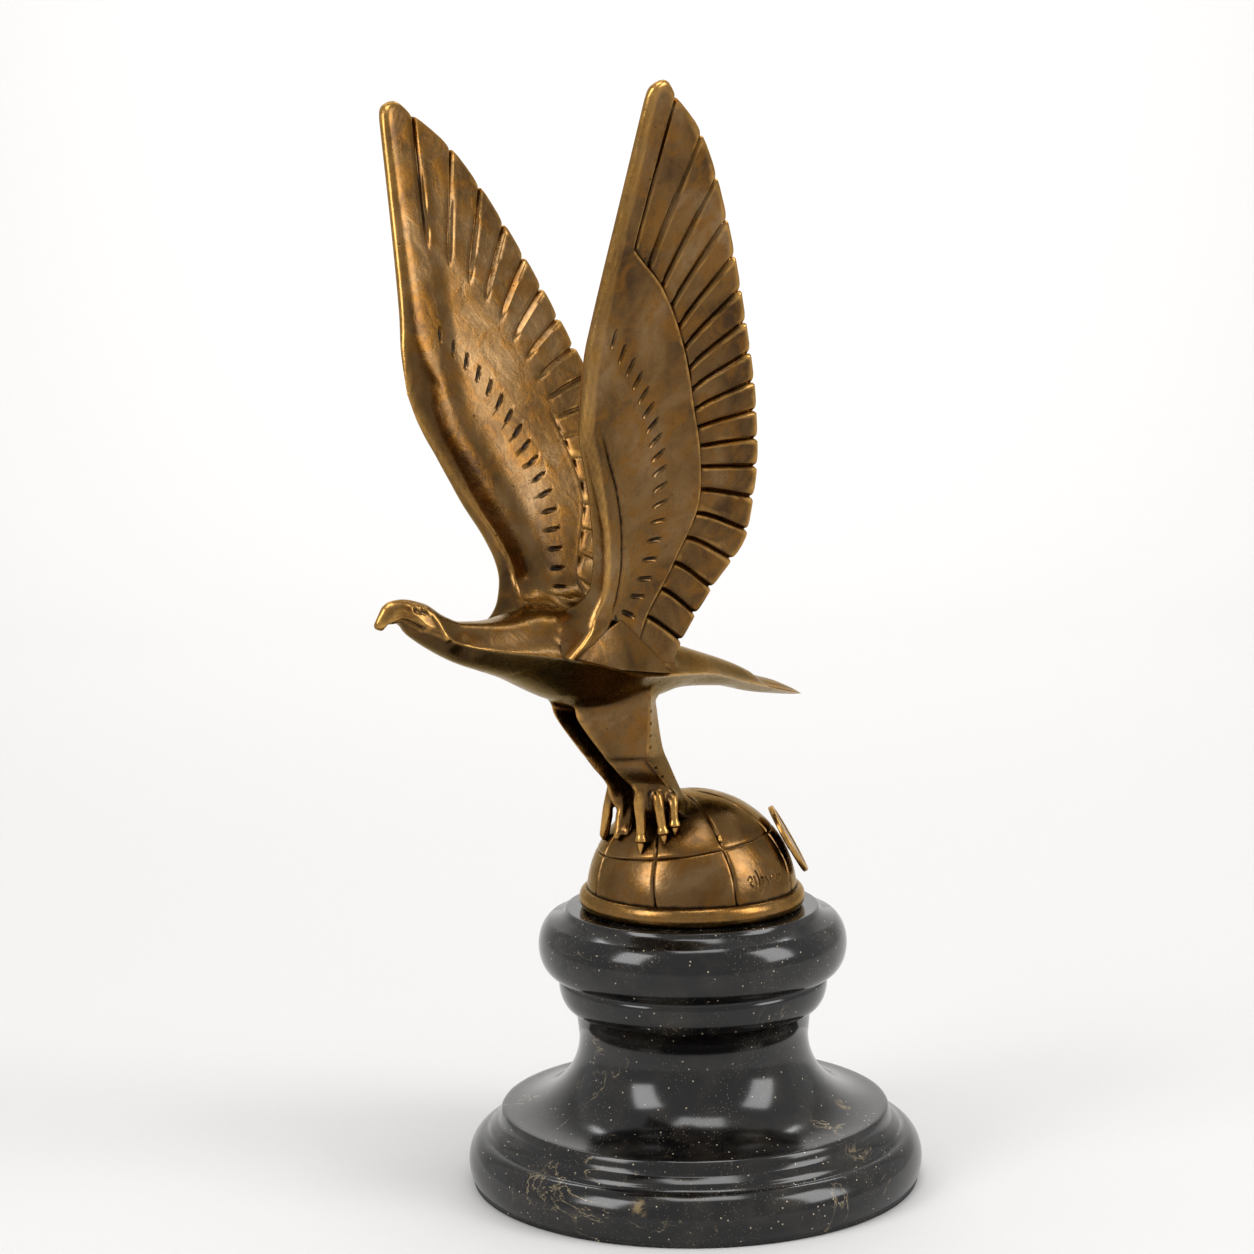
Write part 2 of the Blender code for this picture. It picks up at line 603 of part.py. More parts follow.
def build_leg(name, side, where):
    """A leg with a sharp front edge, a bulged outer face and a flat inner face, down into the globe."""
    rings = []
    for height, front, front_side, back, back_side, rear in LEG_STATIONS:
        outer_mid = (0.5 * (front + back), 0.5 * (front_side + back_side) + LEG_BULGE)
        section = ((front, front_side), outer_mid, (back, back_side), (rear + 1.0, LEG_INNER + 3.0),
                   (rear, LEG_INNER), (0.5 * (front + rear), LEG_INNER))
        rings.append([eagle_point(forward, side * across, height) for forward, across in section])
    return loft(name, rings, where)


def globe_point(polar, turn, side, standoff):
    """A point over the globe: angle from its top, angle from straight ahead, height over its skin."""
    polar, turn = math.radians(polar), math.radians(turn)
    beside = side * math.sin(polar) * math.sin(turn)
    direction = Vector((beside, -math.sin(polar) * math.cos(turn), math.cos(polar)))
    return GLOBE_CENTRE + (GLOBE_RADIUS + standoff) * direction


def build_toe(name, side, toe, profile, where):
    """A toe that bends from the foot down to the globe."""
    root, knuckle, tip = toe
    start = eagle_point(root[0], side * root[1], root[2])
    middle = eagle_point(knuckle[0], side * knuckle[1], knuckle[2])
    end = globe_point(tip[0], tip[1], side, 0.2 * CLAW_THICKNESS)
    rings = []
    for i in range(TOE_STEPS + 1):
        t = smooth_value(((0.0, 0.0), (0.5, 0.55), (0.72, 0.8), (0.8, 0.86), (1.0, 1.0)), i / TOE_STEPS)
        centre = start * (1 - t) ** 2 + middle * 2.0 * t * (1 - t) + end * t * t
        run = (middle - start) * (1 - t) + (end - middle) * t
        across = run.cross(Vector((1.0, 0.0, 0.0))).normalized()
        along_side = run.cross(across).normalized()
        radius = 0.5 * TOE_THICKNESS * smooth_value(profile, t)
        ring = []
        for k in range(TOE_SIDES):
            a = 2.0 * math.pi * k / TOE_SIDES
            ring.append(centre + radius * (math.cos(a) * across + math.sin(a) * along_side))
        rings.append(ring)
    return loft(name, rings, where)


def build_eye(name, side, where):
    bm = bmesh.new()
    bmesh.ops.create_icosphere(bm, subdivisions=1, radius=EYE_SIZE * UNIT)
    bmesh.ops.translate(bm, verts=bm.verts, vec=eagle_point(EYE[0], side * EYE[1], EYE[2]))
    return new_object(name, bm, where)


def build_eagle(where, cutters):
    """The whole casting: eagle, half globe and rim joined into one solid."""
    casting = turned_rim(where)
    bake(casting)
    casting.name = "bronze_eagle"
    pieces = [build_globe(where), build_body(where)]
    feet = {"left": (LEFT_TOES, LEFT_TOE_PROFILE), "right": (RIGHT_TOES, RIGHT_TOE_PROFILE)}
    for name, side in (("left", 1.0), ("right", -1.0)):
        pieces.append(build_leg("leg_" + name, side, where))
        pieces.append(build_shoulder("shoulder_" + name, side, where))
        wing = build_wing("wing_" + name, side, where)
        for outer in (True, False):
            cutter = build_dash_cutters("dashes_" + name, side, outer, cutters)
            cut = wing.modifiers.new("dashes", "BOOLEAN")
            cut.operation = "DIFFERENCE"
            cut.solver = "EXACT"
            cut.object = cutter
            bake(wing)
            bpy.data.objects.remove(cutter)
        pieces.append(wing)
        pieces.append(build_eye("eye_" + name, side, where))
        toes, profile = feet[name]
        for k, toe in enumerate(toes):
            pieces.append(build_toe("toe_%s_%d" % (name, k + 1), side, toe, profile, where))
    join_solids(casting, pieces)
    fill_pockets(casting)
    casting.data.materials.clear()
    casting.data.materials.append(material("patinated_bronze", (0.23, 0.13, 0.05), 0.32, 1.0))
    casting.data.shade_smooth()
    casting.data.set_sharp_from_angle(angle=math.radians(12.0))
    return casting


def build_medallion(where):
    """A plain round disc with a raised band, on a stub that ends just short of the globe."""
    radius = 0.5 * MEDALLION_DIAMETER
    half = 0.5 * MEDALLION_THICKNESS
    inner = radius - MEDALLION_BAND
    face = half - MEDALLION_RECESS
    corner = radius - MEDALLION_EDGE
    profile = [(0.0, face), (inner - MEDALLION_EDGE, face), (inner, half), (corner, half)]
    profile += [(radius, half - MEDALLION_EDGE), (radius, MEDALLION_EDGE - half)]
    profile += [(corner, -half), (0.5 * MEDALLION_STUB, -half)]
    stub = MEDALLION_STANDOFF - SEAT_GAP
    profile += [(0.5 * MEDALLION_STUB, -half - stub), (0.0, -half - stub)]
    made = turned("foundry_medallion", profile, MEDALLION_SIDES, where)
    direction = Vector((math.cos(MEDALLION_TURN) * math.cos(MEDALLION_RISE),
                        math.sin(MEDALLION_TURN) * math.cos(MEDALLION_RISE), math.sin(MEDALLION_RISE)))
    made.location = GLOBE_CENTRE + (GLOBE_RADIUS + MEDALLION_STANDOFF + half) * direction
    made.rotation_mode = "QUATERNION"
    made.rotation_quaternion = direction.to_track_quat("Z", "Y")
    made.data.materials.append(material("worn_bronze", (0.2, 0.12, 0.05), 0.35, 1.0))
    return made


def main():
    for obj in list(bpy.data.objects):
        bpy.data.objects.remove(obj)
    parts = collection("eagle_sculpture")
    build_plinth(parts)
    build_eagle(parts, collection("cutters"))
    build_medallion(parts)


main()
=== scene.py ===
import math

import bmesh
import bpy
import numpy as np
from mathutils import Matrix, Quaternion, Vector
from mathutils.bvhtree import BVHTree
from mathutils.kdtree import KDTree


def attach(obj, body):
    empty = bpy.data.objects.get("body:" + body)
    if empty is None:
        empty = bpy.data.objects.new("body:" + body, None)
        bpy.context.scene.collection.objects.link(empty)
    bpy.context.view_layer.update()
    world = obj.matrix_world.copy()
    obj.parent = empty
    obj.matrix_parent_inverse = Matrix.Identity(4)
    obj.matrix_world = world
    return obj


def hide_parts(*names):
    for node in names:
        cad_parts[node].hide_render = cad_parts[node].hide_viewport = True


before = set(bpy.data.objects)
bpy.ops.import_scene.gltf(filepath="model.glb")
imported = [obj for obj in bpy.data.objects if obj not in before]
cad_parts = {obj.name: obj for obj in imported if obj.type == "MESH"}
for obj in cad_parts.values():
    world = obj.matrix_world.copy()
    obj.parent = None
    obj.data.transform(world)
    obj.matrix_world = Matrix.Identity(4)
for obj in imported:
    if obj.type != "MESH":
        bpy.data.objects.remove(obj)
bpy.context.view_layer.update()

# Every size below is in millimetres and becomes metres when a mesh is made.
# The eagle faces -Y, its left wing is on the +X side and the plinth stands on z = 0.
mm = 0.001


def curveThrough(stops, x):
    # smooth curve through (position, value) stops that never overshoots them
    stops = sorted(stops)
    xs = np.array([s[0] for s in stops], float)
    ys = np.array([s[1] for s in stops], float)
    steps = np.diff(ys) / np.diff(xs)
    slopes = np.zeros(len(xs))
    slopes[0], slopes[-1] = steps[0], steps[-1]
    for i in range(1, len(xs) - 1):
        if steps[i - 1] * steps[i] > 0:
            slopes[i] = 2 * steps[i - 1] * steps[i] / (steps[i - 1] + steps[i])
    x = np.clip(np.asarray(x, float), xs[0], xs[-1])
    k = np.clip(np.searchsorted(xs, x, side="right") - 1, 0, len(xs) - 2)
    span = xs[k + 1] - xs[k]
    t = (x - xs[k]) / span
    h = 2 * t ** 3 - 3 * t ** 2 + 1
    bend = (t ** 3 - 2 * t ** 2 + t) * slopes[k] + (t ** 3 - t ** 2) * slopes[k + 1]
    return h * ys[k] + (1 - h) * ys[k + 1] + span * bend


def ease(x, low, high):
    t = np.clip((np.asarray(x, float) - low) / (high - low), 0, 1)
    return t * t * (3 - 2 * t)


def hump(distance, width):
    return np.exp(-(np.asarray(distance, float) / width) ** 2)


def distanceTo(points, line):
    # distance in the plane from many points to a chain of points
    best = np.full(len(points), 1e9)
    for a, b in zip(line, line[1:]):
        run = np.array(b, float) - np.array(a, float)
        size = float(run @ run)
        if size < 1e-12:
            continue
        t = np.clip(((points - a) @ run) / size, 0, 1)
        best = np.minimum(best, np.hypot(*(points - a - t[:, None] * run).T))
    return best


def newMesh(name, points, faces):
    mesh = bpy.data.meshes.new(name)
    mesh.from_pydata((np.asarray(points, float).reshape(-1, 3) * mm).tolist(), [], faces)
    made = bpy.data.objects.new(name, mesh)
    bpy.context.scene.collection.objects.link(made)
    return made


def tidySkin(obj, reach=0.015):
    # weld the seams and turn every face outwards
    bm = bmesh.new()
    bm.from_mesh(obj.data)
    bmesh.ops.remove_doubles(bm, verts=bm.verts, dist=reach * mm)
    bmesh.ops.dissolve_degenerate(bm, edges=bm.edges, dist=reach * mm)
    bmesh.ops.recalc_face_normals(bm, faces=bm.faces)
    bm.to_mesh(obj.data)
    bm.free()
    return obj


def skinOfRings(name, *ringSets):
    # closed skins, each through rings of equal counts and closed at both ends by a fan
    points, faces, start = [], [], 0
    for rings in ringSets:
        rings = np.asarray(rings, float)
        count, around = rings.shape[:2]
        points += [rings.reshape(-1, 3), rings[0].mean(0)[None], rings[-1].mean(0)[None]]
        here = start + np.arange(count * around).reshape(count, around)
        beside = np.roll(here, -1, 1)
        quads = np.stack([here[:-1], beside[:-1], beside[1:], here[1:]], -1).reshape(-1, 4)
        first = start + count * around
        faces += quads.tolist()
        faces += [(n, k, first) for k, n in zip(here[0].tolist(), beside[0].tolist())]
        faces += [(k, n, first + 1) for k, n in zip(here[-1].tolist(), beside[-1].tolist())]
        start = first + 2
    return tidySkin(newMesh(name, np.vstack(points), faces))


def turnedSkin(name, profile, sides):
    # a turned piece, its profile running from the top of the axis down the outside to the bottom
    turns = np.arange(sides) * 2 * math.pi / sides
    return skinOfRings(name, [[(r * math.cos(a), r * math.sin(a), z) for a in turns] for r,
                              z in profile[1:-1]])


def tubeRings(path, radius, up, around=10):
    # a round-ended stroke along a path, for cuts and small beads
    path = np.asarray(path, float)
    run = np.gradient(path, axis=0)
    run = run / np.linalg.norm(run, axis=1, keepdims=True)
    across = np.cross(run, up)
    across = across / np.linalg.norm(across, axis=1, keepdims=True)
    above = np.cross(across, run)
    angles = np.arange(around) * 2 * math.pi / around
    rings = []
    leans = (78, 50, 22)
    stops = [(0, -a) for a in leans] + [(i, 0) for i in range(len(path))] + [(-1, a) for a in leans[::-1]]
    for i, lean in stops:
        lean = math.radians(lean)
        centre = path[i] + run[i] * radius * math.sin(lean)
        out = np.cos(angles)[:, None] * across[i] + np.sin(angles)[:, None] * above[i]
        rings.append(centre + radius * math.cos(lean) * out)
    return rings


def arcPoints(centreR, centreZ, radiusR, radiusZ, start, end, count):
    angles = np.radians(np.linspace(start, end, count + 1))
    return [(centreR + radiusR * math.cos(a), centreZ + radiusZ * math.sin(a)) for a in angles]


def apply(obj):
    depsgraph = bpy.context.evaluated_depsgraph_get()
    mesh = bpy.data.meshes.new_from_object(obj.evaluated_get(depsgraph))
    obj.modifiers.clear()
    obj.data = mesh
    return obj


def combine(target, other, operation="UNION"):
    # weld another closed skin to this one, or cut it away
    change = target.modifiers.new("combine", "BOOLEAN")
    change.operation = operation
    change.solver = "MANIFOLD"
    change.object = other
    apply(target)
    bpy.data.objects.remove(other)
    return target


def softenSeams(obj, sources, reach, rounds, keep):
    # blend the pieces where they were joined, as the wax is smoothed before casting
    known = KDTree(sum(len(points) for points in sources))
    for i, point in enumerate(p for points in sources for p in points):
        known.insert(point, i)
    known.balance()
    mesh = obj.data
    seam = [v.co.copy() for v in mesh.vertices if known.find(v.co)[2] > 0.004 * mm and keep(v.co / mm)]
    seams = KDTree(len(seam))
    for i, point in enumerate(seam):
        seams.insert(point, i)
    seams.balance()
    away = np.array([seams.find(v.co)[2] for v in mesh.vertices]) / mm
    share = 0.6 * hump(away, reach)[:, None]
    points = readPoints(mesh)
    edges = np.zeros(len(mesh.edges) * 2, int)
    mesh.edges.foreach_get("vertices", edges)
    a, b = edges.reshape(-1, 2).T
    count = len(points)
    total = np.maximum(np.bincount(a, None, count) + np.bincount(b, None, count), 1)
    for _ in range(rounds):
        spread = [np.bincount(a, points[b, i], count) + np.bincount(b, points[a, i], count) for i in range(3)]
        points = points * (1 - share) + share * (np.array(spread) / total).T
    mesh.vertices.foreach_set("co", (points * mm).ravel())
    mesh.update()
    return obj


def readPoints(mesh, name="co"):
    values = np.zeros(len(mesh.vertices) * 3)
    mesh.vertices.foreach_get(name, values)
    return values.reshape(-1, 3) / (mm if name == "co" else 1)


def markRelief(obj, fine=1.3, wide=3.2):
    # three values for the bronze's colour: how far a point stands out of the skin round it, in mm over the
    # fine size, and the mean curvature per mm over the wide size, for the patina and wear; and how open it
    # is, for the painted shade
    mesh = obj.data
    mesh.calc_loop_triangles()
    corners = np.zeros(len(mesh.loop_triangles) * 3, int)
    mesh.loop_triangles.foreach_get("vertices", corners)
    corners = corners.reshape(-1, 3)
    points, normals = readPoints(mesh), readPoints(mesh, "normal")
    many = len(points)
    bend, area = np.zeros_like(points), np.full(many, 1e-9)
    for k in range(3):
        i, j, o = corners[:, k], corners[:, (k + 1) % 3], corners[:, (k + 2) % 3]
        one, two = points[i] - points[o], points[j] - points[o]
        double = np.linalg.norm(np.cross(one, two), axis=1)
        lean = np.clip((one * two).sum(1) / np.maximum(double, 1e-6), -20, 20)[:, None]
        pull = 0.5 * lean * (points[i] - points[j])
        for axis in range(3):
            bend[:, axis] += np.bincount(i, pull[:, axis], many) - np.bincount(j, pull[:, axis], many)
        area += np.bincount(o, double / 6, many)

    def gather(values, size):
        # area-weighted mean of some values over cells of one size, read back at every point
        base = np.floor(points / size).astype(int)
        part = points / size - base
        base -= base.min(0)
        shape = base.max(0) + 2
        slots, weights = [], []
        for x, y, z in np.ndindex(2, 2, 2):
            cell = base + (x, y, z)
            slots.append((cell[:, 0] * shape[1] + cell[:, 1]) * shape[2] + cell[:, 2])
            weights.append(np.prod(np.where((x, y, z), part, 1 - part), axis=1))
        slots, weights = np.array(slots), np.array(weights)
        slots = np.unique(slots, return_inverse=True)[1].reshape(weights.shape)
        total = [(weights * np.bincount(slots.ravel(), (weights * v).ravel())[slots]).sum(0) for v in values]
        return np.array(total)

    places, facings = ([area * rows[:, i] for i in range(3)] for rows in (points, normals))
    sums = gather([area] + places + facings, fine)
    facing = sums[4:] / (np.linalg.norm(sums[4:], axis=0) + 1e-9)
    relief = ((points.T - sums[1:4] / sums[0]) * facing).sum(0)
    weight, curve = gather([area, 0.5 * (bend * normals).sum(1)], wide)
    # openness: the share of a fixed fan of rays that gets away
    tree = BVHTree.FromPolygons((points * mm).tolist(), corners.tolist())
    count, reach = 14, 45.0
    turn = np.arange(count) * math.pi * (3 - math.sqrt(5))
    high = np.sqrt(1 - (np.arange(count) + 0.5) / count)
    flat = np.sqrt(1 - high ** 2)
    aside = np.cross(normals, np.where(np.abs(normals[:, 2:]) < 0.9, (0.0, 0.0, 1.0), (1.0, 0.0, 0.0)))
    aside = aside / (np.linalg.norm(aside, axis=1, keepdims=True) + 1e-9)
    beyond = np.cross(normals, aside)
    openness = np.zeros(many)
    starts = [Vector(p) for p in ((points + 0.25 * normals) * mm).tolist()]
    for a, h, f in zip(turn, high, flat):
        rays = (normals * h + aside * f * math.cos(a) + beyond * f * math.sin(a)).tolist()
        for i, (start, ray) in enumerate(zip(starts, rays)):
            away = tree.ray_cast(start, ray, reach * mm)[3]
            openness[i] += 1.0 if away is None else away / (reach * mm)
    for name, values in (("relief", relief), ("swell", curve / weight), ("openness", openness / count)):
        mesh.attributes.new(name, "FLOAT", "POINT").data.foreach_set("value", values.astype(np.float32))
    return obj


# Camera

camera = {"distance": 900, "height": 300, "aside": 19.4, "yaw": 50, "pitch": 7.69, "roll": 0.9,
          "focalPixels": 2878, "framePixels": 1254}


def makeCamera():
    yaw, pitch, roll = (math.radians(camera[k]) for k in ("yaw", "pitch", "roll"))
    place = Vector((-camera["aside"] * math.cos(yaw) + camera["distance"] * math.sin(yaw),
                    -camera["aside"] * math.sin(yaw) - camera["distance"] * math.cos(yaw), camera["height"]))
    ahead = Vector((-math.cos(pitch) * math.sin(yaw), math.cos(pitch) * math.cos(yaw), -math.sin(pitch)))
    level = ahead.cross(Vector((0, 0, 1))).normalized()
    above = level.cross(ahead)
    right = level * math.cos(roll) - above * math.sin(roll)
    up = above * math.cos(roll) + level * math.sin(roll)
    data = bpy.data.cameras.new("photoCamera")
    data.sensor_width = 36
    data.lens = camera["focalPixels"] / camera["framePixels"] * data.sensor_width
    data.clip_start = 0.01
    made = bpy.data.objects.new("photoCamera", data)
    bpy.context.scene.collection.objects.link(made)
    turn = Matrix((right, up, -ahead)).transposed().to_4x4()
    made.matrix_world = Matrix.Translation(place * mm) @ turn
    bpy.context.scene.camera = made


makeCamera()
print("camera placed")

# Materials


def linearColour(code, alpha=1.0):
    parts = [int(code[i:i + 2], 16) / 255 for i in (1, 3, 5)]
    return tuple(p / 12.92 if p <= 0.04045 else ((p + 0.055) / 1.055) ** 2.4 for p in parts) + (alpha,)


def addNode(tree, kind, settings=None, links=None):
    # one node, with its settings by property or socket name and its links by socket
    node = tree.nodes.new(kind)
    for key, value in (settings or {}).items():
        if key == "stops":
            ramp = node.color_ramp
            while len(ramp.elements) < len(value):
                ramp.elements.new(0.5)
            for element, (place, colour) in zip(ramp.elements, value):
                element.position = place
                element.color = linearColour(colour)
        elif isinstance(key, str) and hasattr(node, key):
            setattr(node, key, value)
        else:
            node.inputs[key].default_value = linearColour(value) if isinstance(value, str) else value
    for key, source in (links or {}).items():
        tree.links.new(source if isinstance(source, bpy.types.NodeSocket) else source.outputs[0],
                       node.inputs[key])
    return node


def emptyMaterial(name):
    made = bpy.data.materials.new(name)
    made.use_nodes = True
    made.node_tree.nodes.clear()
    return made, made.node_tree


# Cast bronze, chased, browned with a hot sulphide patina and waxed: a satin brown skin over gold metal.
# The wax keeps it glossy, hands and cloths have rubbed the ridges back to gold, and the recesses stay umber.
# the shade colour is painted shade, laid on undersides and sheltered places; the other colours are the
# bronze's own
bronzeFinish = {"patina": "#664a27", "patinaLight": "#7f6341", "patinaDark": "#412c16", "honey": "#744c17",
                "rubbed": "#bc8e4b", "recess": "#120a04", "paintedShade": "#2a1b0c", "edgeTint": "#f0dcb8",
                "roughness": 0.25, "wax": 0.16, "cloudSize": 30,
                "mottleSize": 3.4, "honeySize": 9, "pitSpacing": 5.2, "pitSize": 0.42, "scratchSpacing": 0.8,
                # where each layer starts and where it is full
                "rubbedRange": (0.13, 0.48), "recessRange": (-0.08, -0.32), "occlusionShadeRange": (0.8, 0.35),
                "undersideShadeRange": (-0.3, -0.85), "pitShare": 0.28, "waxRoughness": 0.16, "bumpDepth": 0.5}


def bronzeMaterial(name):
    made, tree = emptyMaterial(name)
    finish = bronzeFinish

    def blend(share, below, above):
        return addNode(tree, "ShaderNodeMix", {"data_type": "RGBA", 7: above},
                       {0: share, 6: below}).outputs[2]

    def span(value, low, high, top=1.0, bottom=0.0):
        return addNode(tree, "ShaderNodeMapRange", {"From Min": low, "From Max": high, "To Min": bottom,
                                                    "To Max": top}, {"Value": value})

    place = addNode(tree, "ShaderNodeTexCoord").outputs["Object"]
    relief, swell, openness = (addNode(tree, "ShaderNodeAttribute", {"attribute_name": mark}).outputs["Fac"]
                               for mark in ("relief", "swell", "openness"))
    # a noise of scale s has features of about 1 / s metres, so scales come from sizes in millimetres
    clouds = addNode(tree, "ShaderNodeTexNoise", {"Scale": 1000 / finish["cloudSize"], "Detail": 5,
                                                  "Roughness": 0.55,
                                                  "Distortion": 0.6}, {"Vector": place}).outputs[0]
    honey = addNode(tree, "ShaderNodeTexNoise", {"Scale": 1000 / finish["honeySize"], "Detail": 6,
                                                 "Roughness": 0.6,
                                                 "Distortion": 0.9}, {"Vector": place}).outputs[0]
    mottle = addNode(tree, "ShaderNodeTexNoise", {"Scale": 1000 / finish["mottleSize"], "Detail": 6,
                                                  "Roughness": 0.65}, {"Vector": place}).outputs[0]
    tones = [(0.34, finish["patinaDark"]), (0.5, finish["patina"]), (0.66, finish["patinaLight"])]
    skin = addNode(tree, "ShaderNodeValToRGB", {"stops": tones}, {"Fac": clouds})
    skin = blend(span(honey, 0.47, 0.64, 0.75), skin, finish["honey"])
    skin = blend(span(mottle, 0.52, 0.72, 0.4), skin, finish["patinaDark"])
    # rubbed gold on whatever stands proud
    worn = addNode(tree, "ShaderNodeMath", {"operation": "MULTIPLY_ADD", 1: 1.1}, {0: swell, 2: relief})
    worn = span(worn, *finish["rubbedRange"])
    worn = addNode(tree, "ShaderNodeMath", {"operation": "MULTIPLY", "use_clamp": True},
                   {0: worn, 1: span(mottle, 0.3, 0.6, 1.0, 0.6)})
    skin = blend(worn, skin, finish["rubbed"])
    # painted shade: undersides and sheltered places, where few rays get away, are darkened to stand in for
    # shadow and occlusion
    upward = addNode(tree, "ShaderNodeSeparateXYZ", None,
                     {0: addNode(tree, "ShaderNodeNewGeometry").outputs["Normal"]}).outputs["Z"]
    undersideShade = span(upward, *finish["undersideShadeRange"], 0.8)
    close = span(openness, *finish["occlusionShadeRange"], 0.85)
    # the darker of the two painted shade masks, underside and occlusion, is used
    paintedShade = addNode(tree, "ShaderNodeMath", {"operation": "MAXIMUM"}, {0: undersideShade, 1: close})
    skin = blend(paintedShade, skin, finish["paintedShade"])
    sunk = addNode(tree, "ShaderNodeMath", {"operation": "MULTIPLY_ADD", 1: 0.8}, {0: swell, 2: relief})
    dark = span(sunk, *finish["recessRange"], 0.96)
    skin = blend(dark, skin, finish["recess"])
    # casting pits: small dark dots, few and of uneven size
    cells = addNode(tree, "ShaderNodeTexVoronoi", {"Scale": 1000 / finish["pitSpacing"], "Randomness": 1.0},
                    {"Vector": place})
    chosen = addNode(tree, "ShaderNodeMath", {"operation": "GREATER_THAN", 1: 1 - finish["pitShare"]},
                     {0: cells.outputs["Color"]})
    pit = addNode(tree, "ShaderNodeMath", {"operation": "MULTIPLY"},
                  {0: span(cells.outputs["Distance"], finish["pitSize"] / finish["pitSpacing"], 0.035),
                   1: chosen})
    skin = blend(pit, skin, finish["recess"])
    # fine rubbing marks, drawn as coarse as they need to show
    stretched = addNode(tree, "ShaderNodeMapping", {"Scale": (1.0, 0.12, 0.3), "Rotation": (0.5, 0.3, 0.7)},
                        {"Vector": place})
    marks = addNode(tree, "ShaderNodeTexNoise", {"Scale": 1000 / finish["scratchSpacing"], "Detail": 3},
                    {"Vector": stretched}).outputs[0]
    satin = span(mottle, 0.25, 0.75, finish["roughness"] + 0.1, finish["roughness"] - 0.08)
    rough = addNode(tree, "ShaderNodeMath", {"operation": "MULTIPLY_ADD", 1: 0.35}, {0: dark, 2: satin})
    height = addNode(tree, "ShaderNodeMath", {"operation": "MULTIPLY_ADD", 1: 0.3}, {0: mottle, 2: honey})
    height = addNode(tree, "ShaderNodeMath", {"operation": "MULTIPLY_ADD", 1: 0.08}, {0: marks, 2: height})
    height = addNode(tree, "ShaderNodeMath", {"operation": "MULTIPLY_ADD", 1: -0.8}, {0: pit, 2: height})
    bump = addNode(tree, "ShaderNodeBump", {"Strength": 0.4, "Distance": finish["bumpDepth"] * mm},
                   {"Height": height})
    metal = {"Metallic": 1.0, "Specular Tint": finish["edgeTint"], "Coat Weight": finish["wax"],
             "Coat Roughness": finish["waxRoughness"]}
    shader = addNode(tree, "ShaderNodeBsdfPrincipled", metal,
                     {"Base Color": skin, "Roughness": rough, "Normal": bump})
    addNode(tree, "ShaderNodeOutputMaterial", None, {"Surface": shader})
    return made


# Black marble, turned and polished: a deep black that mirrors the lights, with pale shell flecks, thin
# calcite veins and a few brown and cream fossil patches.
marbleFinish = {"ground": "#070606", "cloud": "#2a2620", "fleck": "#b3a78f", "dust": "#776c5a",
                "vein": "#9c8b6c",
                "fossil": "#8f7a54", "roughness": 0.15, "cloudSize": 14, "fleckSpacing": 1.9,
                "fleckSize": 0.32,
                "dustSpacing": 0.95, "dustSize": 0.2, "veinSpacing": 40, "fossilSpacing": 26,
                "fossilSize": 4.5}


def marbleMaterial(name):
    made, tree = emptyMaterial(name)
    finish = marbleFinish
    place = addNode(tree, "ShaderNodeTexCoord").outputs["Object"]

    def noise(size, detail=5, distortion=0.0):
        return addNode(tree, "ShaderNodeTexNoise", {"Scale": 1000 / size, "Detail": detail, "Roughness": 0.62,
                                                    "Distortion": distortion}, {"Vector": place}).outputs[0]

    def span(value, low, high, top=1.0):
        return addNode(tree, "ShaderNodeMapRange", {"From Min": low, "From Max": high, "To Max": top},
                       {"Value": value}).outputs[0]

    def times(one, two):
        return addNode(tree, "ShaderNodeMath", {"operation": "MULTIPLY"}, {0: one, 1: two}).outputs[0]

    def dots(spacing, size, share):
        cells = addNode(tree, "ShaderNodeTexVoronoi", {"Scale": 1000 / spacing}, {"Vector": place})
        chosen = addNode(tree, "ShaderNodeMath", {"operation": "GREATER_THAN", 1: 1 - share},
                         {0: cells.outputs["Color"]})
        return times(span(cells.outputs["Distance"], size / spacing, 0.4 * size / spacing), chosen.outputs[0])

    def blend(share, below, above):
        return addNode(tree, "ShaderNodeMix", {"data_type": "RGBA", 7: above},
                       {0: share, 6: below}).outputs[2]

    tones = [(0.45, finish["ground"]), (0.78, finish["cloud"])]
    stone = addNode(tree, "ShaderNodeValToRGB", {"stops": tones},
                    {"Fac": noise(finish["cloudSize"], 6)}).outputs[0]
    patchy = span(noise(20, 4), 0.42, 0.62)
    stone = blend(times(dots(finish["dustSpacing"], finish["dustSize"], 0.8), patchy), stone, finish["dust"])
    stone = blend(dots(finish["fleckSpacing"], finish["fleckSize"], 0.34), stone, finish["fleck"])
    # fossils: soft-edged broken patches round a few scattered places
    fossils = dots(finish["fossilSpacing"], finish["fossilSize"], 0.45)
    stone = blend(times(fossils, span(noise(3.2, 7, 0.3), 0.45, 0.58, 0.85)), stone, finish["fossil"])
    # veins: the thin middle lines of a warped noise, broken up by a second one
    middle = addNode(tree, "ShaderNodeMath", {"operation": "SUBTRACT", 1: 0.5},
                     {0: noise(finish["veinSpacing"], 7, 1.1)})
    middle = addNode(tree, "ShaderNodeMath", {"operation": "ABSOLUTE"}, {0: middle})
    vein = times(span(middle, 0.008, 0.001), span(noise(24, 4), 0.53, 0.66, 0.7))
    stone = blend(vein, stone, finish["vein"])
    shader = addNode(tree, "ShaderNodeBsdfPrincipled", {"Roughness": finish["roughness"], "IOR": 1.49},
                     {"Base Color": stone})
    addNode(tree, "ShaderNodeOutputMaterial", None, {"Surface": shader})
    return made


# Stone plinth

plinth = {"height": 88.8, "footRadius": 72.95, "footHeight": 16.0, "footBevel": 1.6, "stepHeight": 3.4,
          "stepRadius": 66.0, "ledgeRadius": 62.3, "ledgeHeight": 4.6, "waistRadius": 36.7,
          "waistHeight": 47.0,
          "lowerRingRadius": 43.0, "lowerRingHeight": 10.6, "ringCrease": 0.9, "upperRingRadius": 49.3,
          "upperRingHeight": 19.2, "topRadius": 40.6, "topBand": 2.4, "sides": 180}


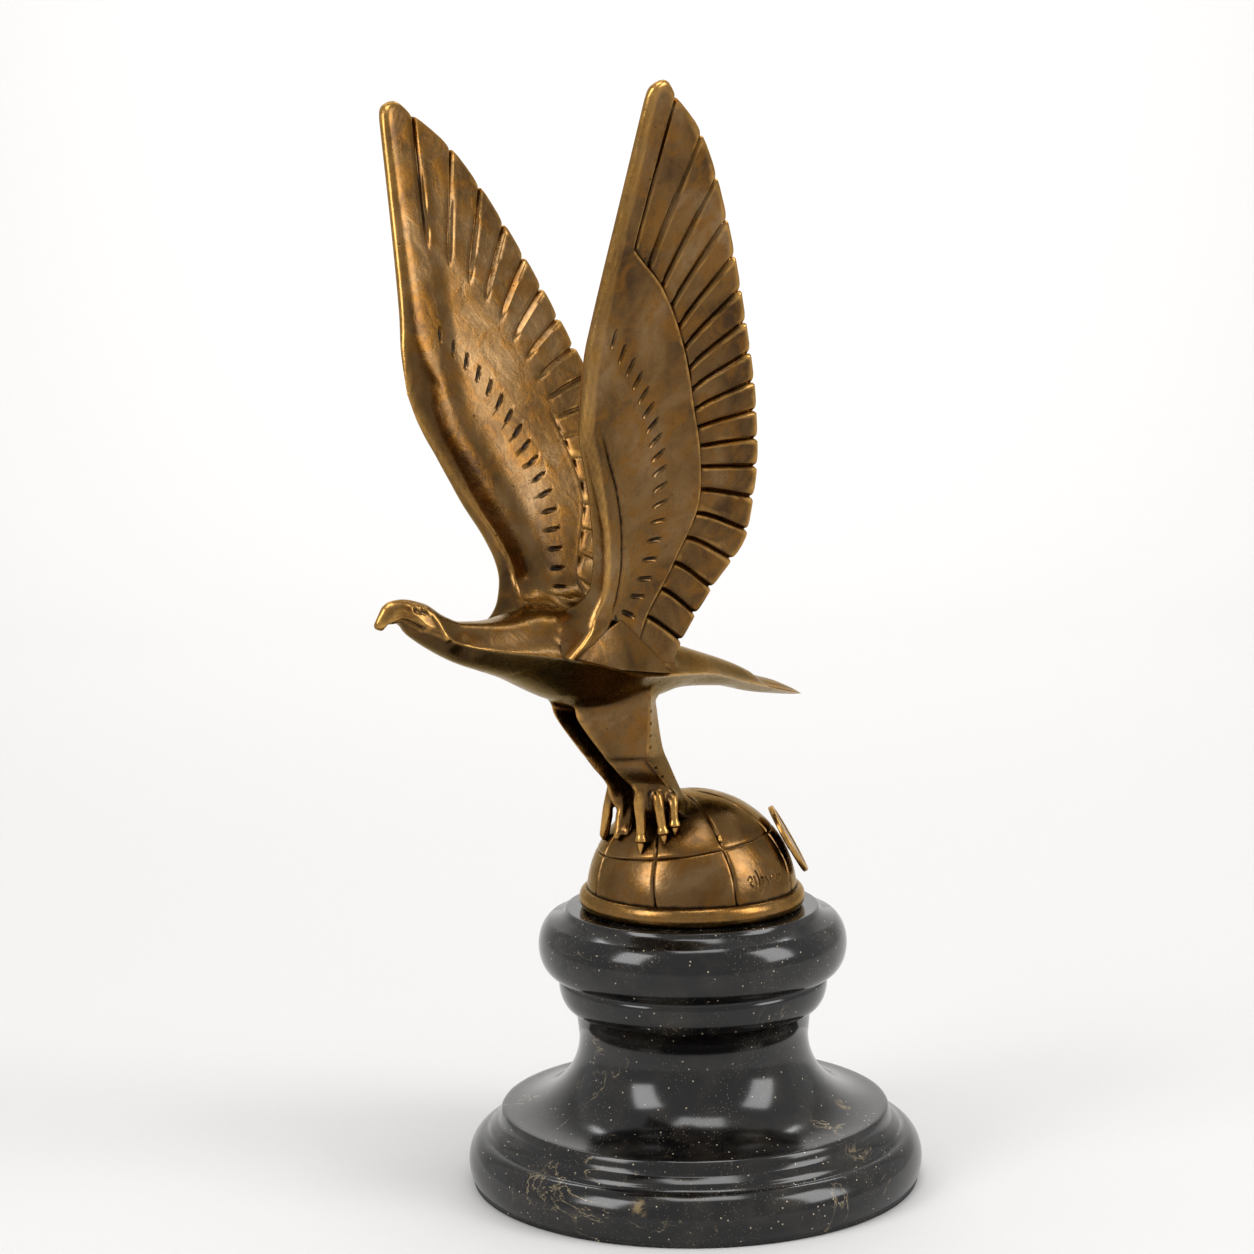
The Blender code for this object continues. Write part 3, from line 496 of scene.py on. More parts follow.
def plinthProfile():
    p = plinth
    ledgeZ = p["footHeight"] + p["stepHeight"] + p["ledgeHeight"]
    ringLow = p["height"] - p["topBand"] - p["upperRingHeight"] - p["ringCrease"]
    torusZ = ringLow + p["ringCrease"] + 0.5 * p["upperRingHeight"]
    torusDepth = p["upperRingRadius"] - p["lowerRingRadius"]
    profile = [(0.0, p["height"]), (0.5 * p["topRadius"], p["height"]), (p["topRadius"] - 1.2, p["height"])]
    profile += arcPoints(p["topRadius"] - 0.6, p["height"] - 0.6, 0.6, 0.6, 90, 8, 4)
    profile += [(p["topRadius"] + 0.9, p["height"] - p["topBand"] + 0.3)]
    profile += arcPoints(p["upperRingRadius"] - torusDepth, torusZ, torusDepth, 0.5 * p["upperRingHeight"],
                         64, -80, 22)
    profile += [(p["lowerRingRadius"] - p["ringCrease"], ringLow + 0.5 * p["ringCrease"])]
    profile += arcPoints(p["waistRadius"] + p["ringCrease"], ringLow - 1.6,
                         p["lowerRingRadius"] - p["waistRadius"] - p["ringCrease"],
                         p["lowerRingHeight"] - 1.6, 8, -90, 12)
    skirt = p["ledgeRadius"] - 1.2
    profile += arcPoints(skirt, p["waistHeight"], skirt - p["waistRadius"], p["waistHeight"] - ledgeZ, 180,
                         270, 26)
    profile += [(p["ledgeRadius"] - 0.4, ledgeZ - 0.15), (p["ledgeRadius"], ledgeZ - 0.8),
                (p["ledgeRadius"] + 0.5, ledgeZ - 0.5 * p["ledgeHeight"]),
                (p["ledgeRadius"] + 0.8, ledgeZ - p["ledgeHeight"] + 0.3)]
    profile += [(p["ledgeRadius"] + 1.2, ledgeZ - p["ledgeHeight"]),
                (p["stepRadius"] - 0.4, p["footHeight"] + 2.2),
                (p["stepRadius"] + 0.3, p["footHeight"] + 1.2),
                (p["stepRadius"] + 0.8, p["footHeight"] + 0.1)]
    footDepth = p["footRadius"] - p["stepRadius"] - 0.8
    profile += arcPoints(p["footRadius"] - footDepth, 0.44 * p["footHeight"], footDepth,
                         0.56 * p["footHeight"], 80, 0, 14)
    profile += arcPoints(p["footRadius"] - footDepth, 0.44 * p["footHeight"], footDepth,
                         0.52 * p["footHeight"], -8, -48, 5)
    profile += [(p["footRadius"] - 0.9 * p["footBevel"], 0.3), (p["footRadius"] - 1.3 * p["footBevel"], 0.0),
                (0.5 * p["footRadius"], 0.0), (0.0, 0.0)]
    return profile


def makePlinth():
    made = turnedSkin("blackMarblePlinth", plinthProfile(), plinth["sides"])
    made.data.materials.append(marbleMaterial("polishedBlackMarble"))
    made.data.shade_smooth()
    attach(made, "root")
    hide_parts("marble_plinth")
    return made


makePlinth()
print("plinth turned")

# Half globe and rim

globe = {
    "seatGap": 0.3, "radius": 33.6, "lift": 3.4, "tilt": 7.0, "meridians": 8, "meridianTurn": 29.5,
    "parallel": 57.0, "endAngle": 100.0, "grooveDepth": 0.7, "grooveWidth": 0.4, "waver": 0.35,
    "rimRadius": 36.0, "rimHeight": 6.4, "rimBulge": 2.2,
    # a small bead of metal left where two grooves cross, as (angle from the top, turn from straight ahead)
    "bead": (47.2, 69.6), "beadRadius": 0.8,
    # shallow worn strokes on the side, each as points of (mm to the right, mm up) from their middle
    "strokesAt": (74.0, 95.0), "strokeRadius": 0.42,
    "strokes": (((-7.6, 1.0), (-6.6, 2.0), (-6.0, 0.8), (-7.0, -0.4), (-6.0, -1.4)),
                ((-5.0, 1.6), (-4.6, -0.6), (-4.9, -2.2)), ((-3.7, 2.9), (-3.3, 0.6), (-3.4, -1.6)),
                ((-2.3, 0.5), (-1.5, 1.0), (-1.6, -1.3)), ((-0.4, 0.6), (0.3, -0.6), (0.1, -1.9)),
                ((1.4, 1.3), (1.6, -0.9)), ((2.6, 0.4), (3.4, 1.1), (3.9, -0.5)),
                ((4.9, 1.8), (4.8, -0.2), (5.4, -1.3)), ((6.5, 0.6), (7.3, 0.2), (7.1, -1.1))),
}
seatZ = plinth["height"] + globe["seatGap"]
globeCentre = np.array((0.0, 0.0, seatZ + globe["lift"]))
globeTopZ = globeCentre[2] + globe["radius"]

medallion = {"diameter": 23.6, "thickness": 1.7, "corner": 0.45, "band": 1.5, "recess": 0.35,
             "standoff": 0.9, "stub": 7.0,
             "turn": 50.0, "rise": 29.0}


def makeGlobe():
    spread = (0, 0.22, 0.45, 0.75, 1.2, 1.9, 3.0, 4.6, 6.8, 9.4, 12.2, 14.8)   # mm from a groove
    half = math.pi / globe["meridians"]
    turns = []
    for k in range(globe["meridians"]):
        base = math.radians(globe["meridianTurn"]) + 2 * half * k
        offsets = np.array(spread) / globe["radius"]
        offsets = offsets[offsets < half]
        turns += [base + a for a in offsets] + [base + half] + [base + 2 * half - a for a in offsets[:0:-1]]
    turns = np.array(turns)
    parallel, end = math.radians(globe["parallel"]), math.radians(globe["endAngle"])
    near = np.array((0.25, 0.55, 0.9, 1.5, 2.4)) / globe["radius"]
    polars = np.concatenate([np.linspace(0.03, parallel - 0.1, 26), parallel - near[::-1], [parallel],
                             parallel + near, np.linspace(parallel + 0.1, end, 24)])
    polar, turn = np.meshgrid(polars, turns, indexing="ij")
    fromMeridian = np.abs((turn - math.radians(globe["meridianTurn"]) + half) % (2 * half) - half)
    fromMeridian = fromMeridian * globe["radius"] * np.sin(polar)
    fromParallel = np.abs(polar - parallel) * globe["radius"]
    # the hand-cut lines wander in depth
    along = 0.75 + 0.25 * np.sin(9 * polar + 5 * turn) * np.sin(23 * polar - 7 * turn)
    sunk = np.maximum(hump(fromMeridian, globe["grooveWidth"]) * ease(polar, 0.1, 0.25),
                      hump(fromParallel, globe["grooveWidth"])) * along
    radius = globe["radius"] - globe["grooveDepth"] * sunk
    points = np.stack([np.sin(polar) * np.cos(turn), np.sin(polar) * np.sin(turn), np.cos(polar)], -1)
    towards = math.radians(medallion["turn"])
    axis = Vector((math.cos(towards), math.sin(towards), 0)).cross((0, 0, 1))
    tilt = np.array(Quaternion(axis, math.radians(globe["tilt"])).to_matrix())
    points = points @ tilt.T
    # and from side to side
    waver = globe["waver"] / globe["radius"] * np.sin(11 * points[..., 2] + 4 * points[..., 0])
    swirl = np.stack([-points[..., 1], points[..., 0], 0 * points[..., 2]], -1) * waver[..., None]
    points = points + swirl * (1 - ease(points[..., 2], 0.8, 0.95))[..., None]
    points = points / np.linalg.norm(points, axis=-1, keepdims=True)
    points = globeCentre + radius[..., None] * points
    points[..., 2] = np.maximum(points[..., 2], seatZ + 0.3 * globe["rimHeight"])
    made = skinOfRings("globe", points)
    out, right, up = globeFrame(*globe["strokesAt"])
    marks = []
    for stroke in globe["strokes"]:
        knots = np.array(stroke)
        t = np.linspace(0, len(knots) - 1, 4 * len(knots))
        flat = np.stack([curveThrough(list(enumerate(knots[:, i])), t) for i in (0, 1)], -1)
        path = out * globe["radius"] + flat[:, :1] * right + flat[:, 1:] * up
        path = path / np.linalg.norm(path, axis=1, keepdims=True) * (globe["radius"] + 0.1)
        marks.append(tubeRings(globeCentre + path, globe["strokeRadius"], out, 8))
    combine(made, skinOfRings("strokes", *marks), "DIFFERENCE")
    out, right, up = globeFrame(*globe["bead"])
    spot = globeCentre + (globe["radius"] - 0.1) * out
    return combine(made, skinOfRings("bead", tubeRings([spot, spot - 1.1 * up], globe["beadRadius"], out)))


def globeFrame(polar, turn):
    # outward, rightward and upward directions at a place on the globe
    polar, turn = math.radians(polar), math.radians(turn)
    out = np.array((math.sin(polar) * math.sin(turn), -math.sin(polar) * math.cos(turn), math.cos(polar)))
    right = np.cross((0.0, 0.0, 1.0), out)
    right = right / np.linalg.norm(right)
    return out, right, np.cross(out, right)


def makeRim():
    g = globe
    middle = seatZ + 0.45 * g["rimHeight"]
    profile = [(0.0, seatZ + g["rimHeight"]), (10.0, seatZ + g["rimHeight"]),
               (g["radius"] - 1.4, seatZ + g["rimHeight"])]
    profile += arcPoints(g["rimRadius"] - g["rimBulge"], middle, g["rimBulge"], 0.5 * g["rimHeight"], 84,
                         -62, 16)
    profile += [(g["rimRadius"] - g["rimBulge"] + 0.4, seatZ), (10.0, seatZ), (0.0, seatZ)]
    return turnedSkin("rim", profile, 144)


# Eagle, in millimetres as (forward, sideways, height above the globe's top)

body = {
    # sections from beak to tail, as (first, last, step), closest at the head and at the tail's step
    "runs": ((119.9, 96.0, -0.4), (96.0, -20.5, -1.05), (-20.5, -23.6, -0.5), (-24.0, -41.5, -1.4)),
    "tailEnd": (-42.2, -42.9, -43.3, -43.5),
    "back": ((119.9, 65.2), (118.4, 67.6), (116.8, 69.8), (114.2, 70.9), (111.0, 71.1), (104.0, 69.6),
             (97.0, 65.4), (90.0, 62.6),
             (78.0, 61.8), (62.0, 63.6), (48.0, 62.4), (24.0, 53.0), (2.4, 46.0), (-21.0, 37.0),
             (-23.0, 35.4),
             (-34.0, 31.8), (-43.5, 27.6)),
    "ridge": ((119.9, 64.2), (112.0, 66.0), (104.0, 62.6), (97.0, 57.6), (88.0, 55.0), (72.0, 52.3),
              (56.0, 48.0),
              (36.0, 42.6), (6.0, 39.4), (-14.0, 34.0), (-35.0, 28.4), (-43.5, 26.6)),
    "belly": ((119.9, 63.2), (118.0, 62.6), (116.4, 64.2), (113.0, 64.2), (107.6, 59.6), (101.2, 55.4),
              (92.2, 50.6),
              (73.7, 43.6), (57.5, 35.8), (44.0, 31.2), (26.0, 30.6), (6.8, 33.8), (-9.2, 32.6),
              (-26.0, 28.6),
              (-43.5, 25.8)),
    "halfWidth": ((119.9, 0.9), (117.0, 2.2), (112.0, 3.8), (107.0, 6.2), (100.0, 7.9), (95.0, 8.4),
                  (88.0, 12.3),
                  (72.0, 22.5), (62.0, 25.2), (46.0, 24.8), (26.0, 19.8), (0.0, 15.4), (-21.0, 12.8),
                  (-36.0, 10.5),
                  (-41.0, 8.5), (-43.5, 5.5)),
    "ridgeEdge": ((119.9, 0.0), (104.0, 0.05), (94.0, 0.34), (80.0, 0.48), (40.0, 0.4), (0.0, 0.45),
                  (-43.5, 0.4)),
    # shares along each quarter of the section, close together at the side ridge
    "quarter": (0, 0.08, 0.17, 0.26, 0.35, 0.44, 0.53, 0.62, 0.7, 0.77, 0.83, 0.88, 0.92, 0.95, 0.975, 0.99,
                1),
    "bead": 0.42, "beadWidth": 0.5,
    # lines carved in each side of the head: (points as forward and height, depth, width)
    "headLines": (
        (((115.9, 63.9), (114.4, 65.0), (112.9, 65.5), (111.3, 65.1), (109.3, 63.9), (107.2, 62.8)), -0.75,
         0.42),
        (((112.4, 63.6), (110.4, 62.9), (108.2, 62.0)), -0.3, 0.3),
        (((116.4, 66.2), (114.6, 67.6), (112.4, 67.9), (110.0, 66.8), (107.8, 65.0), (105.6, 62.7)), 0.35,
         0.8),
        (((107.4, 62.2), (103.6, 60.6), (100.2, 58.9)), 0.35, 0.6),
        (((105.6, 67.9), (103.9, 66.9), (102.4, 64.6), (101.4, 61.9), (100.0, 59.4)), 0.5, 0.95),
        (((110.0, 69.1), (107.6, 69.5), (105.2, 68.4)), 0.2, 0.6),
    ),
    "eye": {"place": (107.5, 67.8), "length": 2.2, "height": 0.8, "depth": 0.75, "ball": 0.5, "slope": 0.25},
    # the cut across the breast, as points of (forward, height)
    "breastCut": (((68.5, 51.6), (70.7, 50.4), (72.2, 48.6), (74.2, 46.6), (75.6, 45.4)), -0.5, 0.4),
}

wing = {
    "feathers": 19,
    "edge": ((0, 72.6, 128.0), (2, 71.6, 119.0), (6, 67.0, 107.5), (10, 61.5, 95.0), (14, 57.2, 82.0),
             (17, 55.8, 71.5), (19, 60.0, 60.2), (20, 69.5, 52.0)),
    "arm": ((0, 73.0, 140.0), (2, 67.3, 124.5), (6, 60.6, 111.0), (10, 54.6, 99.5), (14, 50.3, 86.0),
            (17, 48.6, 73.5), (19, 49.0, 61.0), (20, 66.0, 50.5)),
    "dashes": ((0, 72.0, 152.0), (1, 65.6, 145.5), (4, 53.2, 133.0), (7, 44.6, 119.5), (10, 38.7, 105.5),
               (13, 35.8, 90.0), (16, 37.2, 72.5), (19, 43.5, 55.5), (20, 44.5, 45.0)),
    "coverts": ((0, 70.2, 176.0), (1, 63.2, 170.5), (3, 49.8, 159.6), (6, 37.3, 141.5), (9, 29.0, 123.0),
                (11.5, 23.4, 109.0), (13.5, 20.7, 95.0), (16, 26.7, 76.5), (19, 36.8, 52.0),
                (20, 38.0, 42.0)),
    "tips": ((0, 67.6, 212.5), (0.12, 66.4, 215.6), (0.42, 62.8, 217.4), (1, 57.7, 213.6), (2, 45.3, 203.5),
             (4, 29.8, 179.8), (7, 15.0, 149.6), (10, 4.0, 122.3), (12.5, -1.2, 100.0), (14, -1.8, 84.5),
             (16, 8.9, 67.0), (18, 17.6, 51.0), (19, 20.5, 41.0), (20, 25.0, 36.0)),
    "rootHeight": 64.0, "rootOffset": 20.5, "lean": 0.282, "camber": 1.8, "rootFillet": 9.0, "rootFlare": 6.5,
    "rootFlareDrop": 14.0, "edgeThickness": 8.0, "tipThickness": 4.2, "bladeThickness": 3.4,
    "rootSink": 6.0, "bandEdge": 0.3, "bandTop": 88, "barFoot": 118,
    # how far the right wing's front edge stands ahead of the left one's, by feather
    "rightReach": ((0, 6.4), (3, 4.8), (9, 4.6), (17, 0.0), (20, 0.0)),
    "lines": ("edge", "arm", "dashes", "coverts", "tips"),
    "grooveDepth": 1.2, "grooveHalf": 0.8, "shingle": 0.3, "lip": 0.14, "notch": 1.2, "covertStep": 0.75,
    "armGrooveDepth": 0.9, "armGrooveWidth": 0.7, "dashHalf": 2.4, "dashRadius": 1.0, "dashLift": 0.25,
    "dashRise": 0.45,
}


def eaglePoints(forward, side, height):
    return np.stack(np.broadcast_arrays(side, -np.asarray(forward, float),
                                        globeTopZ + np.asarray(height, float)), -1)


def quarterCurve(a, b, c, d, t):
    return (1 - t) ** 3 * a + 3 * t * (1 - t) ** 2 * b + 3 * t * t * (1 - t) * c + t ** 3 * d


def makeBody():
    stations = np.concatenate([np.arange(*run) for run in body["runs"]] + [body["tailEnd"]])
    top, side, low, wide, edge = (curveThrough(body[k], stations)[:, None]
                                  for k in ("back", "ridge", "belly", "halfWidth", "ridgeEdge"))
    t = np.array(body["quarter"])[None, :]
    upperX = quarterCurve(0 * wide, 0.58 * wide, wide * (1 - edge), wide, t)
    upperZ = quarterCurve(top, top, side + (0.55 - 0.3 * edge) * (top - side), side, t)
    t = 1 - t[:, ::-1]
    lowerX = quarterCurve(wide, wide * (1 - edge), 0.42 * wide, 0 * wide, t)
    lowerZ = quarterCurve(side, side - 0.5 * (side - low), low, low, t)
    x = np.concatenate([upperX[:, :-1], lowerX], 1)
    z = np.concatenate([upperZ[:, :-1], lowerZ], 1)
    # carve the head: lines, then the eye
    forward = np.broadcast_to(stations[:, None], x.shape)
    flat = np.stack([forward.ravel(), z.ravel()], 1)
    carve = np.zeros(len(flat))
    for line, depth, width in body["headLines"] + (body["breastCut"],):
        carve += depth * hump(distanceTo(flat, line), width)
    e = body["eye"]
    across = (flat[:, 0] - e["place"][0]) / e["length"]
    above = (flat[:, 1] - e["place"][1] - e["slope"] * (flat[:, 0] - e["place"][0])) / e["height"]
    carve -= e["depth"] * (1 - ease(np.abs(across) ** 1.4 + np.abs(above) ** 1.4, 0.7, 1.2))
    fromBall = np.hypot(flat[:, 0] - e["place"][0] - 0.5, flat[:, 1] - e["place"][1])
    carve += 0.7 * e["depth"] * (1 - ease(fromBall, 0.2, e["ball"] + 0.35))
    carve = carve.reshape(x.shape) * ease(x, 0.8, 2.5)
    # a raised bead along the side ridge, from the cheek to the wing
    fromRidge = np.hypot(x - wide, z - side)
    beaded = (ease(stations, -18, 0) * (1 - ease(stations, 96, 102)))[:, None]
    x = x + body["bead"] * beaded * hump(fromRidge, body["beadWidth"])
    middle = 0.5 * (top + low)
    outwardX, outwardZ = x, z - middle
    size = np.hypot(outwardX, outwardZ) + 1e-6
    x = x + carve * outwardX / size
    z = z + carve * outwardZ / size
    # fine feather lines on the tail, between its step and its end
    tail = ease(-stations, 22.5, 25.0)[:, None] * (1 - ease(-stations, 40.5, 43.0))[:, None]
    lines = np.abs(((x / np.maximum(wide, 1)) * 5.5 + 0.5) % 1 - 0.5)
    z = z - 0.3 * tail * hump(lines, 0.12) * (z > side)
    x = np.concatenate([x, -x[:, -2:0:-1]], 1)
    z = np.concatenate([z, z[:, -2:0:-1]], 1)
    return skinOfRings("body", eaglePoints(stations[:, None], x, z))


def fanPoints(u, v):
    # (forward, height) over a wing: u counts feathers from the tip down, v runs from the front edge back
    u, v = np.broadcast_arrays(np.asarray(u, float), np.asarray(v, float))
    k = np.clip(np.floor(v).astype(int), 0, 3)[None]
    t = v - k[0]
    h = 2 * t ** 3 - 3 * t ** 2 + 1
    out = []
    for part in (1, 2):
        knots = np.stack([curveThrough([(p[0], p[part]) for p in wing[line]], u) for line in wing["lines"]])
        steps = np.diff(knots, axis=0)
        product, total = steps[:-1] * steps[1:], steps[:-1] + steps[1:]
        inner = np.where(product > 0, 2 * product / np.where(product > 0, total, 1.0), 0.0)
        slopes = np.concatenate([steps[:1], inner, steps[-1:]])
        low, high, lowSlope, highSlope = (np.take_along_axis(rows, i, 0)[0] for rows, i in (
            (knots, k), (knots, k + 1), (slopes, k), (slopes, k + 1)))
        out.append(h * low + (1 - h) * high
                   + (t ** 3 - 2 * t ** 2 + t) * lowSlope + (t ** 3 - t ** 2) * highSlope)
    return np.stack(out, -1)


def wingLevel(flat, v):
    level = wing["rootOffset"] + wing["lean"] * (flat[..., 1] - wing["rootHeight"])
    return level - wing["camber"] * np.sin(math.pi * v / 4)


def wingThickness(flat, frontLine, tipLine):
    points = flat.reshape(-1, 2)
    height = points[:, 1]
    low = ease(height, wing["rootHeight"], wing["edge"][0][2])
    high = ease(height, wing["edge"][0][2], 217.4)
    bar = 0.5 * (wing["edgeThickness"] * (1 - 0.2 * low) * (1 - high) + wing["tipThickness"] * high)
    blade = 0.5 * wing["bladeThickness"]
    front = distanceTo(points, frontLine)
    behind = ease(front, bar, bar + 11)
    full = bar * (1 - behind) + np.minimum(blade, bar) * behind
    # the front edge is a round bar above and a flat band with two ridges below
    thin = wing["bandEdge"]
    roundness = bar * (thin + (1 - thin) * ease(height, wing["bandTop"], wing["barFoot"]))
    inFront = np.sqrt(np.maximum(0, 1 - (1 - np.minimum(front / roundness, 1)) ** 2))
    inTips = np.sqrt(np.maximum(0, 1 - (1 - np.minimum(distanceTo(points, tipLine) / (0.8 * blade), 1)) ** 2))
    return (full * inFront * inTips).reshape(flat.shape[:2])


def wingRelief(u, v, alongU, alongV, outer):
    nearGroove = (u - np.round(u)) * alongU
    real = (np.round(u) >= 1) & (np.round(u) <= wing["feathers"] - 1)
    past = (v - 3) * alongV
    if outer:
        starts = ease(past, -0.2, 0.8)
    else:
        covered = ease(u, 9.5, 11.5)
        starts = ease(past, -0.2, 0.8) * covered + ease(past, 0.5, 9.0) * (1 - covered)
    relief = -wing["grooveDepth"] * np.clip(1 - np.abs(nearGroove) / wing["grooveHalf"], 0, 1) * starts * real
    share = u - np.floor(u)
    slope = wing["shingle"] * (1 - 2 * share) * ease(u, 0.9, 1.0)
    relief += (slope + wing["lip"] * hump(nearGroove - 1.15, 0.4) * real) * starts
    step = wing["covertStep"] * (ease(u, 0.9, 1.0) if outer else 0.6 * ease(u, 9.5, 11.0))
    relief -= step * ease(past, -0.3, 0.25)
    relief -= 1.1 * step * hump(past - 0.4, 0.45)
    relief += 0.2 * step * hump(past + 0.8, 0.45)
    if outer:
        arm = wing["armGrooveDepth"] * ease(u, 2.0, 6.5) * (1 - ease(u, 18.2, 18.9))
        relief -= arm * hump((v - 1) * alongV, wing["armGrooveWidth"])
    return relief


def makeWing(name, side):
    even = np.arange(10) / 10
    close = np.array((0, 0.025, 0.06, 0.12, 0.25, 0.5, 0.75, 0.88, 0.94, 0.975))
    lead = (0, .02, .05, .09, .15, .23, .33, .45, .6, .75, .88, .94, .975)
    foot = (19, 19.02, 19.12, 19.3, 19.6, 20)
    vs = np.array((0, .012, .03, .06, .1, .15, .22, .3, .4, .52, .64, .76, .86, .92, .96, 1, 1.04, 1.08,
                   1.14, 1.25,
                   1.4, 1.55, 1.7, 1.85, 2, 2.15, 2.3, 2.45, 2.6, 2.72, 2.82, 2.9, 2.95, 2.975, 2.99, 3,
                   3.01, 3.025,
                   3.05, 3.1, 3.18, 3.28, 3.4, 3.52, 3.64, 3.74, 3.82, 3.88, 3.92, 3.95, 3.97, 3.985, 3.995,
                   4))
    # columns are even over the smooth part and close to the grooves over the feathers
    shares = even[None, :] + ease(vs, 2.6, 2.95)[:, None] * (close - even)[None, :]
    u = np.concatenate([np.broadcast_to(np.array(lead)[:, None], (len(lead), len(vs)))]
                       + [k + shares.T for k in range(1, wing["feathers"])]
                       + [np.broadcast_to(np.array(foot)[:, None], (len(foot), len(vs)))])
    v = np.broadcast_to(vs[None, :], u.shape)
    flat = fanPoints(u, v)
    reach = 0.02
    uLow, uHigh = np.maximum(u - reach, 0), np.minimum(u + reach, 20)
    vLow, vHigh = np.maximum(v - reach, 0), np.minimum(v + reach, 4)
    alongU = np.linalg.norm(fanPoints(uHigh, v) - fanPoints(uLow, v), axis=-1) / (uHigh - uLow)
    alongV = np.linalg.norm(fanPoints(u, vHigh) - fanPoints(u, vLow), axis=-1) / (vHigh - vLow)
    thick = wingThickness(flat, np.concatenate([flat[::-1, 0], flat[0, 1:]]), flat[1:, -1])
    level = wingLevel(flat, v)
    below = wing["rootHeight"] - flat[..., 1]
    flare = wing["rootFlare"] * ease(below, 0, wing["rootFlareDrop"]) * (1 - 0.25 * v)
    flare = flare - wing["rootSink"] * ease(u, 19.0, 19.12) * ease(v, 0.9, 1.3)
    drop = np.clip((below + wing["rootFillet"]) / wing["rootFillet"], 0, 1)
    fillet = wing["rootFillet"] * (1 - np.sqrt(1 - drop ** 2))
    # notches between the feather tips, cut back along the feathers
    fromNotch = np.abs(u - np.round(u)) * alongU
    real = (np.round(u) >= 1) & (np.round(u) <= wing["feathers"] - 1)
    back = wing["notch"] * (hump(fromNotch, 0.5) + 0.4 * hump(fromNotch, 1.8)) * real * ease(v, 3.72, 4.0)
    run = np.gradient(flat, axis=1)
    run = run / (np.linalg.norm(run, axis=-1, keepdims=True) + 1e-9)
    shaped = flat - back[..., None] * run
    if side < 0:
        share = np.maximum(np.maximum(1 - v, (1 - u) * (1 - 0.7 * (v / 4) ** 2)), 0)
        shaped[..., 0] += curveThrough(wing["rightReach"], u) * share
    sheets, slots = [], []
    for outer in (True, False):
        relief = wingRelief(u, v, alongU, alongV, outer)
        # the outer grooves may pass the middle of the blade, the inner ones go half as deep
        least = 0.25 * thick - 0.75 * ease(thick, 1.0, 1.6) if outer else 0.5 * thick
        height = np.where(thick > 0.05, np.maximum(thick + relief, least), thick)
        if outer:
            offset = level + height + flare
        else:
            offset = level - height - np.where(thick > 0.05, fillet, 0.0)
            offset[:, 0] = (level + thick + flare)[:, 0]
            offset[:, -1] = (level + thick + flare)[:, -1]
        sheet = eaglePoints(shaped[..., 0], side * offset, shaped[..., 1])
        sheets.append(sheet)
        row = int(np.argmin(np.abs(vs - 2)))
        for k in range(1, wing["feathers"] if outer else wing["feathers"] - 1):
            i = len(lead) + 10 * (k - 1)
            centre, ahead = sheet[i, row], sheet[i, row + 1] - sheet[i, row - 1]
            ahead = ahead / np.linalg.norm(ahead)
            normal = np.cross(ahead, sheet[i + 1, row] - sheet[i - 1, row])
            normal = normal / np.linalg.norm(normal) * np.sign(normal[0] * side * (1 if outer else -1))
            # a gouge goes in, runs deep and comes out again
            t = np.linspace(-1, 1, 7)[:, None]
            rise = wing["dashLift"] + wing["dashRise"] * t ** 2
            path = centre + wing["dashHalf"] * t * ahead + rise * normal
            slots.append(tubeRings(path, wing["dashRadius"], normal))
    rows, columns = flat.shape[:2]
    grid = np.arange(rows * columns).reshape(rows, columns)
    quads = np.stack([grid[:-1, :-1], grid[:-1, 1:], grid[1:, 1:], grid[1:, :-1]], -1).reshape(-1, 4)
    end = np.stack([grid[-1, :-1], grid[-1, 1:], grid[-1, 1:] + grid.size, grid[-1, :-1] + grid.size], -1)
    faces = np.concatenate([quads, quads + grid.size, end]).tolist()
    made = tidySkin(newMesh(name, np.concatenate([s.reshape(-1, 3) for s in sheets]), faces))
    return combine(made, skinOfRings(name + "Slots", *slots), "DIFFERENCE")


shoulder = ((67.5, 23.6, 51.4), (48.0, 24.9, 46.0), (46.5, 22.6, 61.0), (37.0, 20.6, 54.0),
            (23.0, 18.6, 41.6),
            (62.0, 10.0, 55.0), (30.0, 10.0, 46.0), (50.0, 12.0, 40.0))


def makeShoulder(name, side):
    bm = bmesh.new()
    for forward, sideways, height in shoulder:
        bm.verts.new(Vector(eaglePoints(forward, side * sideways, height)) * mm)
    bmesh.ops.convex_hull(bm, input=bm.verts)
    bmesh.ops.recalc_face_normals(bm, faces=bm.faces)
    mesh = bpy.data.meshes.new(name)
    bm.to_mesh(mesh)
    bm.free()
    made = bpy.data.objects.new(name, mesh)
    bpy.context.scene.collection.objects.link(made)
    softer = made.modifiers.new("softEdges", "BEVEL")
    softer.width = 0.5 * mm
    softer.segments = 3
    return apply(made)


leg = {
    # (height, front, front side, back, back side, rear)
    "stations": ((44.0, 57.0, 5.5, 28.5, 15.0, 20.5), (31.0, 51.6, 5.5, 28.8, 14.6, 19.2),
                 (17.0, 40.8, 5.5, 29.2, 14.0, 16.8), (11.0, 35.4, 5.8, 25.8, 13.3, 14.0),
                 (4.0, 29.2, 6.4, 18.6, 12.2, 10.4), (-2.0, 27.4, 6.8, 17.0, 12.8, 7.0),
                 (-6.0, 19.0, 6.4, 13.0, 13.2, 4.0), (-14.0, 15.0, 6.0, 8.0, 14.0, 2.0)),
    "inner": 4.6, "bulge": 1.9, "rounding": (0.7, 5.0, 0.8, 0.9, 0.9, 0.9),
    # soft creases across the outer face at the knee and above the foot, as (height, depth, width)
    "creases": ((14.5, 0.7, 1.3), (3.9, 0.6, 1.0)),
    # short nicks down the rear face, by height
    "nicks": (30.1, 26.2, 22.4, 18.8, 15.4, 12.0, 8.8), "nickRadius": 0.45, "nickLength": 1.7,
}


